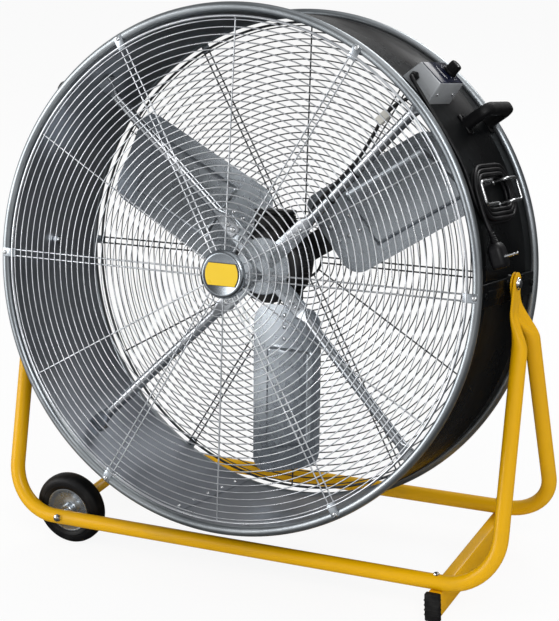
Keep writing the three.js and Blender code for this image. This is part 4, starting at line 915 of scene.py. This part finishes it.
# The inner lead runs from the terminal box along one strut, under two ties, to a small white
# joint block and on to the drum's wall behind the control box.
INNER_LEAD_R, TIE_HALF, TIE_THICK, TIE_MIDDLE, TIE_STEPS = 0.0035, 0.002, 0.0012, 0.0028, 32
white_plastic = worn_finish("white_plastic", (40, 4), (0.72, 0.71, 0.66), (0.60, 0.58, 0.52),
                            (0.35, 0.2, 90, 3), (600, 2, 0.0002, 0.3))
beside = at_clock(45)
wiring = [drum_place @ Vector(point) for point in (
    (0.046, 0.035, 0.084), (0.062, 0.033, 0.086), (0.084, 0.010, 0.104))]
wiring += [beside @ Vector(point) for point in (
    (0.17, -0.0195, 0.0133), (0.23, -0.0283, 0.0133), (0.30, -0.0390, 0.0145), (0.350, -0.047, 0.024),
    (0.393, -0.053, 0.034), (0.430, -0.062, 0.032), (0.462, -0.076, 0.020), (0.479, -0.086, 0.0150),
    (0.4868, -0.090, 0.0143))]
shape = bmesh.new()
pipe(shape, smooth_line(wiring, 8), INNER_LEAD_R)
sideways, = axes(beside, (1, 0, 0))
for x in (0.2, 0.275):
    middle = beside @ Vector((x, strut_y(x), TIE_MIDDLE))
    rings = []
    for k in range(TIE_STEPS + 1):
        turn = tau * k / TIE_STEPS
        centre = beside @ Vector((x, strut_y(x) + 0.0112 * cos(turn),
                                  TIE_MIDDLE + (0.0142 if sin(turn) > 0 else 0.0131) * sin(turn)))
        off = (centre - middle).normalized()
        rings.append([centre + sideways * dx + off * lift for dx, lift in (
            (-TIE_HALF, 0), (TIE_HALF, 0), (TIE_HALF, TIE_THICK), (-TIE_HALF, TIE_THICK))])
    loft(shape, rings)
finished("motor_wiring", shape, lead_pvc, "drum", "black_plastic", merge=1e-7)
shape = bmesh.new()
block(shape, beside, (0.380, -0.0610, 0.0260), (0.406, -0.0450, 0.0420), 0.0018, 3)
block(shape, beside, (0.391, -0.0618, 0.0252), (0.395, -0.0442, 0.0428), 0.0008)
finished("lead_joint", shape, white_plastic, "drum", "black_plastic")


# ---- Impeller --------------------------------------------------------------------------------
# Three broad blades of zinc-coated sheet, cut with a slanted tip, dished, and stiffened by a
# raised panel. Each is riveted to a pitched arm of the hub, which is keyed to the motor's shaft.
BLADE_PHASE, BLADE_PITCH, BLADE_Y = 32, 18.6, 0.110
BLADE_ROOT, BLADE_TIP, TIP_SLANT = 0.092, 0.450, 0.045
ROOT_CHORD, TIP_CHORD, CORNER, CAMBER = 0.186, 0.184, 0.040, 0.012
SHEET_HALF = 0.0011
PANEL_ROOT, PANEL_HALF, PANEL_STOP, PANEL_RISE, PANEL_EDGE = 0.178, 0.0615, 0.048, 0.0055, 0.005
SPAN_STEPS, CHORD_STEPS = 110, 60
HUB_R, HUB_FRONT, HUB_BACK, HUB_BORE = 0.046, 0.090, 0.130, 0.0122


def blade_frame(i):
    return at_clock(BLADE_PHASE + 120 * i) @ moved(0, BLADE_Y, 0) @ Matrix.Rotation(radians(BLADE_PITCH), 4, "X")


def blade_tip(level):
    return BLADE_TIP - TIP_SLANT * (0.5 + level / TIP_CHORD)


def blade_surface(span, level, full):
    """How far the sheet's middle lies behind its pitch plane."""
    panel = (eased(span, PANEL_ROOT, PANEL_ROOT + PANEL_EDGE) * eased(-abs(level), -PANEL_HALF, PANEL_EDGE - PANEL_HALF)
             * eased(blade_tip(level) - span, PANEL_STOP, PANEL_STOP + PANEL_EDGE))
    return CAMBER * (0.5 - (level / full) ** 2) - PANEL_RISE * panel


rivet_seats = []
for i in range(3):
    fitted = blade_frame(i)
    rows = []
    for a in range(SPAN_STEPS + 1):
        share = a / SPAN_STEPS
        full = (ROOT_CHORD + (TIP_CHORD - ROOT_CHORD) * share) / 2
        inset = max(0.0, CORNER - min(share, 1 - share) * (BLADE_TIP - BLADE_ROOT))
        half = full - CORNER + sqrt(max(0.0, CORNER ** 2 - inset ** 2))
        levels = [half * (2 * k / CHORD_STEPS - 1) for k in range(CHORD_STEPS + 1)]
        spans = [BLADE_ROOT + share * (blade_tip(level) - BLADE_ROOT) for level in levels]
        middle = [(span, blade_surface(span, level, full), level) for span, level in zip(spans, levels)]
        rows.append([fitted @ Vector((x, y + SHEET_HALF, z)) for x, y, z in middle]
                    + [fitted @ Vector((x, y - SHEET_HALF, z)) for x, y, z in middle[::-1]])
    shape = bmesh.new()
    skin = loft(shape, rows, capped=False)
    for row in (skin[0], skin[-1]):
        for k in range(CHORD_STEPS):
            shape.faces.new((row[k], row[k + 1], row[-2 - k], row[-1 - k]))
    finished(f"fan_blade_{i + 1}", shape, zinc_sheet, "impeller", "galvanised", f"blade_{i + 1}", sharp=40, merge=1e-7)
    for span in (0.112, 0.136, 0.160):
        for level in (-0.017, 0.017):
            surface = blade_surface(span, level, ROOT_CHORD / 2) - SHEET_HALF
            rivet_seats.append(seat_at(fitted, (span, surface, level), (0, -1, 0), 0.0045))

shape = bmesh.new()
lathe(shape, [(HUB_BORE, HUB_FRONT + 0.004), (HUB_BORE, HUB_FRONT), (0.028, HUB_FRONT), (0.030, HUB_FRONT + 0.002),
              (0.044, HUB_FRONT + 0.003), (HUB_R, HUB_FRONT + 0.006), (HUB_R, HUB_BACK - 0.004),
              (0.044, HUB_BACK - 0.001), (0.030, HUB_BACK), (HUB_BORE, HUB_BACK)], drum_place, 64, ring=True)
for i in range(3):
    block(shape, blade_frame(i), (0.030, 0.0078, -0.026), (0.172, 0.0138, 0.026), 0.0015)
finished("hub_and_arms", shape, motor_paint, "impeller", "motor_paint", "impeller_hub")


# ---- Control box -----------------------------------------------------------------------------
# A folded sheet-steel cover in silver-grey paint, narrower at its top, on the drum's upper right
# side. A glossy dark panel on it carries a plain scale; a black gland takes the lead out in front.
BOX_TOP, PANEL_TOP, KNOB_Y = 0.531, 0.5325, -0.024
BOX_FRONT, BOX_BACK = -0.112, 0.005
SCALE_FROM, SCALE_MARKS, MARK_HALF, SCALE_R = -135, 9, 0.0005, 0.0172
box_place = at_clock(BOX_CLOCK)
box_paint = worn_finish("box_paint", (20, 5, 0.4, 0.8), (0.46, 0.48, 0.50), (0.34, 0.355, 0.37),
                        (0.32, 0.2), (500, 2, 0.0003, 0.35), Metallic=0.45)


def box_level(x, half_z, inset, round_by):
    """A rectangle with rounded corners, square to the drum, at a height off its middle."""
    low_y, high_y = BOX_FRONT + inset, BOX_BACK - inset
    ring = []
    corners = ((high_y, half_z), (low_y, half_z), (low_y, -half_z), (high_y, -half_z))
    for first, (corner_y, corner_z) in enumerate(corners):
        centre_y = corner_y - copysign(round_by, corner_y - (low_y + high_y) / 2)
        centre_z = corner_z - copysign(round_by, corner_z)
        for k in range(5):
            turn = (first + k / 4) * pi / 2
            ring.append(box_place @ Vector((x, centre_y + round_by * cos(turn), centre_z + round_by * sin(turn))))
    return ring


shape = bmesh.new()
loft(shape, [box_level(*level) for level in (
    (0.4866, 0.0345, 0, 0.003), (0.4886, 0.0345, 0, 0.003), (0.500, 0.0326, 0, 0.003), (0.5003, 0.0318, 0.0006, 0.003),
    (0.5009, 0.0318, 0.0006, 0.003), (0.5012, 0.0324, 0, 0.003), (0.5292, 0.0277, 0, 0.003),
    (0.5304, 0.0270, 0.0006, 0.0026), (BOX_TOP, 0.0258, 0.0018, 0.002))])
finished("control_cover", shape, box_paint, "drum", "box_paint", "control_box", sharp=30)
screw_seats += [seat_at(box_place, (0.5075, y, side * 0.0312), (0.16, 0, side), 0.0032)
                for y in (-0.092, -0.015) for side in (-1, 1)]

dark_panel = worn_finish("dark_panel", (28, 5, 0.4, 0.8), (0.006, 0.008, 0.022), (0.016, 0.018, 0.045), (0.10, 0.14),
                         Specular_IOR_Level=0.2)
scale_print = worn_finish("scale_print", (90, 3), (0.72, 0.73, 0.74), (0.60, 0.61, 0.62), (0.35, 0.2, 120, 2))
shape = bmesh.new()
block(shape, box_place, (BOX_TOP - 0.0003, -0.1100, -0.0255), (PANEL_TOP, 0.0030, 0.0255), 0.0007)
for i in range(SCALE_MARKS):
    turn = radians(SCALE_FROM - 2 * SCALE_FROM * i / (SCALE_MARKS - 1))
    mark = box_place @ moved(PANEL_TOP, KNOB_Y, 0) @ Matrix.Rotation(turn, 4, "X")
    reach = 0.0034 if i % 4 == 0 else 0.0022
    block(shape, mark, (-0.0002, SCALE_R, -MARK_HALF), (0.0002, SCALE_R + reach, MARK_HALF), 0.0001, 1, paint=1)
for y, half in ((-0.062, 0.016), (-0.066, 0.011)):
    block(shape, box_place, (PANEL_TOP - 0.0002, y - MARK_HALF, -half), (PANEL_TOP + 0.0002, y + MARK_HALF, half),
          0.0001, 1, paint=1)
finished("control_overlay", shape, [dark_panel, scale_print], "drum", "panel", "control_panel", sharp=30)

gland_place = box_place @ moved(GLAND_OUT, 0, GLAND_UP)
shape = bmesh.new()
lathe(shape, [(0, -0.1128), (0.0088, -0.1128), (0.0093, -0.1135), (0.0093, -0.1176), (0.0088, -0.1183), (0, -0.1183)],
      gland_place, 6)
lathe(shape, [(0, -0.110), (0.0076, -0.110), (0.0076, -0.1192), (0.0070, -0.1215), (0.0056, -0.1238), (0.0040, -0.1243),
              (0, -0.1243)], gland_place, 48)
finished("lead_gland", shape, matt_plastic, "drum", "black_plastic", "cable_gland")


# ---- Speed knob ------------------------------------------------------------------------------
# A fluted black plastic knob on a skirt, with a pale line that shows its place on the scale.
FLUTES, FLUTE_DEPTH, POINTER_HALF = 18, 0.028, 0.0006
knob_place = box_place @ moved(0, KNOB_Y, 0) @ LATHE_OUT
shape = bmesh.new()
lathe(shape, [(0, 0.5337), (0.0138, 0.5337), (0.0140, 0.5341), (0.0140, 0.5362), (0.0135, 0.5372), (0.0118, 0.5378),
              (0, 0.5378)], knob_place, 72)
lathe(shape, [(0, 0.5372), (0.0118, 0.5372), (0.0112, 0.5505), (0.0106, 0.5532), (0.0092, 0.5544), (0.0070, 0.5546),
              (0.0062, 0.5541), (0, 0.5540)], knob_place, 144,
      radius_at=lambda turn: 1 + FLUTE_DEPTH * cos(FLUTES * turn))
lathe(shape, [(0, 0.522), (0.003, 0.522), (0.003, 0.5345), (0, 0.5345)], knob_place, 24)
pointer = box_place @ moved(0, KNOB_Y, 0) @ Matrix.Rotation(radians(SCALE_FROM), 4, "X")
block(shape, pointer, (0.5537, 0.0015, -POINTER_HALF), (0.5547, 0.0098, POINTER_HALF), 0.0002, 1, paint=1)
block(shape, pointer, (0.5368, 0.0105, -POINTER_HALF), (0.5374, 0.0132, POINTER_HALF), 0.0002, 1, paint=1)
finished("fluted_knob", shape, [matt_plastic, scale_print], "knob", "black_plastic", "speed_knob", sharp=30)


# ---- Handles ---------------------------------------------------------------------------------
# A moulded black grip on each side of the drum, on two splayed feet that are screwed down.
GRIP_R, GRIP_LIFT, GRIP_CORNER, FINGER_WIDTH = 0.012, 0.540, 0.017, 0.0244
FOOT_SPAN, FOOT_REACH, FOOT_BASE = 0.061, 0.012, 0.4862
dark_seats = []
half_line = [(x, -FOOT_SPAN) for x in (FOOT_BASE, 0.495, 0.505, 0.515)]
half_line += [(GRIP_LIFT - GRIP_CORNER * (1 - sin(a)), -FOOT_SPAN + GRIP_CORNER * (1 - cos(a))) for a in quarter(8)]
grip_line = half_line + [(GRIP_LIFT, -FOOT_SPAN + GRIP_CORNER + (FOOT_SPAN - GRIP_CORNER) * 2 * k / 14)
                         for k in range(1, 14)] + [(x, -y) for x, y in half_line[::-1]]
for where, clock, middle in (("right", 37, 0.070), ("left", 143, -0.012)):
    spot = at_clock(clock)
    side_axis, = axes(spot, (0, 0, 1))
    centres = [spot @ Vector((x, middle + y, 0)) for x, y in grip_line]
    rings = []
    for (x, y), (point, first, second) in zip(grip_line, frames_along(centres, side_axis)):
        flare = 1 + 0.35 * max(0.0, 1 - (x - FOOT_BASE) / 0.014) ** 2
        gripped = 1 - 0.035 * (0.5 - 0.5 * cos(tau * (y + FOOT_SPAN) / FINGER_WIDTH)) if x == GRIP_LIFT else 1
        rings.append(rounded_ring(point, first, second, 0.0118 * flare, GRIP_R * 0.98 * gripped * min(flare, 1.05),
                                  0.7, 28))
    shape = bmesh.new()
    loft(shape, rings)
    for foot in (-FOOT_SPAN, FOOT_SPAN):
        block(shape, spot, (0.4866, foot - FOOT_REACH + middle, -0.0205), (0.4925, foot + FOOT_REACH + middle, 0.0205),
              0.002, 3)
        dark_seats += [seat_at(spot, (0.4924, middle + foot, z), (1, 0, 0), 0.0035) for z in (-0.016, 0.016)]
    finished(f"moulded_grip_{where}", shape, matt_plastic, "drum", "black_plastic", f"handle_{where}")


# ---- Hooks for the lead ----------------------------------------------------------------------
# Two loops of 6 mm plated rod stand on the drum's side and reach out over the wound lead.
HOOK_R, HOOK_HALF, HOOK_BASE, HOOK_LEVEL, HOOK_BEND, HOOK_POST = 0.003, 0.021, 0.486, 0.515, 0.009, 0.040
for (where, side), lip in zip(ENDS, (0.104, 0.092)):
    post, end = COIL_MIDDLE_Y + side * HOOK_POST, COIL_MIDDLE_Y + side * lip
    half_hook = ((HOOK_BASE, post), (HOOK_LEVEL, post), (HOOK_LEVEL, end))
    corners = [Vector((x, y, HOOK_HALF)) for x, y in half_hook]
    corners += [Vector((x, y, -HOOK_HALF)) for x, y in half_hook[::-1]]
    line = [corners[0]]
    for before, at, after in zip(corners, corners[1:], corners[2:]):
        a, b = at + (before - at).normalized() * HOOK_BEND, at + (after - at).normalized() * HOOK_BEND
        line += [a.lerp(at, t).lerp(at.lerp(b, t), t) for t in (k / 10 for k in range(11))]
    line.append(corners[-1])
    shape = bmesh.new()
    pipe(shape, [hook_place @ point for point in line], HOOK_R, 16)
    for z in (-HOOK_HALF, HOOK_HALF):
        lathe(shape, [(0, 0.4870), (0.0068, 0.4870), (0.0068, 0.4892), (0.0058, 0.4900), (0, 0.4900)],
              hook_place @ moved(0, post, z) @ LATHE_OUT, 6)
    finished(f"lead_hook_{where}", shape, plated_steel, "drum", "chrome", f"cord_hook_{where}")


# ---- Pivots ----------------------------------------------------------------------------------
# A pressed plate stiffens each side of the drum. A plated dome-headed bolt goes through both
# frame tubes, a boss and the plate to a nut inside, and clamps the drum at its tilt.
PLATE_FACE, BOSS_FACE, BOLT_HEAD, BOLT_R, DOME_R = 0.496, 0.502, 0.5129, 0.0049, 0.009
for where, side in (("right", 1), ("left", -1)):
    handed = Matrix.Diagonal((side, 1, 1, 1))
    spot = drum_place @ handed
    shape = bmesh.new()
    block(shape, spot, (0.4868, -0.145, -0.022), (PLATE_FACE, 0.145, 0.022), 0.0028, 3)
    for near, far in ((-0.118, -0.030), (0.030, 0.118)):
        block(shape, spot, (0.4950, near, -0.0085), (PLATE_FACE + 0.0014, far, 0.0085), 0.0013, 3)
    lathe(shape, [(0, 0.4945), (0.0165, 0.4945), (0.0158, 0.4975), (0.0150, 0.4990), (0.0150, BOSS_FACE - 0.0005),
                  (0.0146, BOSS_FACE), (0, BOSS_FACE)], spot @ moved(0, 0, PIVOT_DROP) @ LATHE_OUT, 64)
    finished(f"side_plate_{where}", shape, black_paint, "drum", "black_paint", f"pivot_plate_{where}")
    dark_seats += [seat_at(spot, (PLATE_FACE - 0.0002, y, 0), (1, 0, 0), 0.006) for y in (-0.132, 0.132)]
    bolt_place = moved(0, STAND_Y, PIVOT_HEIGHT) @ handed @ LATHE_OUT
    dome = [(DOME_R * cos(turn), BOLT_HEAD + 0.0024 + 0.0045 * sin(turn)) for turn in quarter(10)[:-1]]
    shape = bmesh.new()
    lathe(shape, [(0, 0.4705), (BOLT_R, 0.4705), (BOLT_R, BOLT_HEAD), (0.0118, BOLT_HEAD), (0.0120, BOLT_HEAD + 0.0004),
                  (0.0116, BOLT_HEAD + 0.0016), (DOME_R, BOLT_HEAD + 0.0018), *dome, (0, BOLT_HEAD + 0.0069)],
          bolt_place, 64)
    lathe(shape, [(0, 0.4745), (0.0095, 0.4745), (0.0095, 0.4832), (0, 0.4832)], bolt_place, 6)
    finished(f"dome_bolt_{where}", shape, plated_steel, "stand", "chrome", f"pivot_bolt_{where}")


# ---- Screws and rivets -----------------------------------------------------------------------
# Plated pan-head screws with a cross recess hold the clips, the struts and the boxes, and black
# ones the handles and side plates. Domed rivets hold the blades, and the seam has plated heads.
HEAD_RINGS, HEAD_SIDES, HEAD_SEAT, HEAD_RISE = 10, 24, 0.22, 0.42


def screw_head(recess):
    """A head one unit in radius, its seat at nought; a rivet has no recess."""
    circle = [(cos(tau * k / HEAD_SIDES), sin(tau * k / HEAD_SIDES)) for k in range(HEAD_SIDES)]
    rows = []
    for r in (0.08 + 0.92 * i / HEAD_RINGS for i in range(HEAD_RINGS + 1)):
        ring = []
        for x, y in ((r * a, r * b) for a, b in circle):
            crossed = max(eased(-abs(x), -0.2, -0.1) * eased(-abs(y), -0.62, -0.52),
                          eased(-abs(y), -0.2, -0.1) * eased(-abs(x), -0.62, -0.52))
            ring.append(Vector((x, y, HEAD_SEAT + HEAD_RISE * sqrt(max(0.0, 1 - r ** 2.6)) - recess * crossed)))
        rows.append(ring)
    rows.append([Vector((x, y, -0.05)) for x, y in circle])
    shape = bmesh.new()
    loft(shape, rows)
    return loose_part(shape)


set_tree, of = new_growth("set_fasteners", {"Seats": "Object", "Part": "Object", "Finish": "Material"})
seats = shape_of(of["Seats"])
aimed = seats.node("GeometryNodeInputNamedAttribute", {"Name": "aim"}, data_type="FLOAT_VECTOR")
sized = seats.node("GeometryNodeInputNamedAttribute", {"Name": "head"}, data_type="FLOAT")
turned = aimed.node("FunctionNodeAlignRotationToVector", {"Vector": aimed}, axis="Z")
end_growth(set_tree, copies(seats, shape_of(of["Part"]), Rotation=turned, Scale=sized.vector(sized, sized, sized)),
           of["Finish"])


def set_fasteners(name, wanted, head, finish, body, slot):
    """One head at each (seat, aim, radius)."""
    mesh = bpy.data.meshes.new("seats")
    mesh.from_pydata([seat for seat, _, _ in wanted], [], [])
    aims = mesh.attributes.new("aim", "FLOAT_VECTOR", "POINT")
    aims.data.foreach_set("vector", [v for _, aim, _ in wanted for v in aim])
    sizes = mesh.attributes.new("head", "FLOAT", "POINT")
    sizes.data.foreach_set("value", [radius for _, _, radius in wanted])
    spots = linked("seats", mesh)
    grown = grow(set_tree, {"Seats": spots, "Part": head, "Finish": finish})
    bpy.data.objects.remove(spots)
    grown_piece(name, grown, Matrix.Identity(4), body, slot, sharp=45)


screw_seats += [seat_at(seam_place, (LINING_INNER - 0.0011, y, 0), (-1, 0, 0), 0.0042)
                for y in (-0.120, -0.060, 0.0, 0.060, 0.120)]
head = screw_head(recess=0.42)
set_fasteners("drum_screws", screw_seats, head, plated_steel, "drum", "chrome")
set_fasteners("black_screws", dark_seats, head, black_paint, "drum", "black_paint")
bpy.data.objects.remove(head)
head = screw_head(recess=0.0)
set_fasteners("blade_rivets", rivet_seats, head, plated_steel, "impeller", "chrome")
bpy.data.objects.remove(head)

# The axle rod with its nuts, the screws in the floor bar and the shaft are plated or ground steel;
# the spacer tube between the wheels is painted with the frame.
for name, finish in (("axle_rod", plated_steel), ("bar_screw_front", plated_steel), ("bar_screw_rear", plated_steel),
                     ("impeller_shaft", plated_steel), ("axle_tube", yellow_paint)):
    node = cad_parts[name]
    node.data.materials.clear()
    node.data.materials.append(finish)
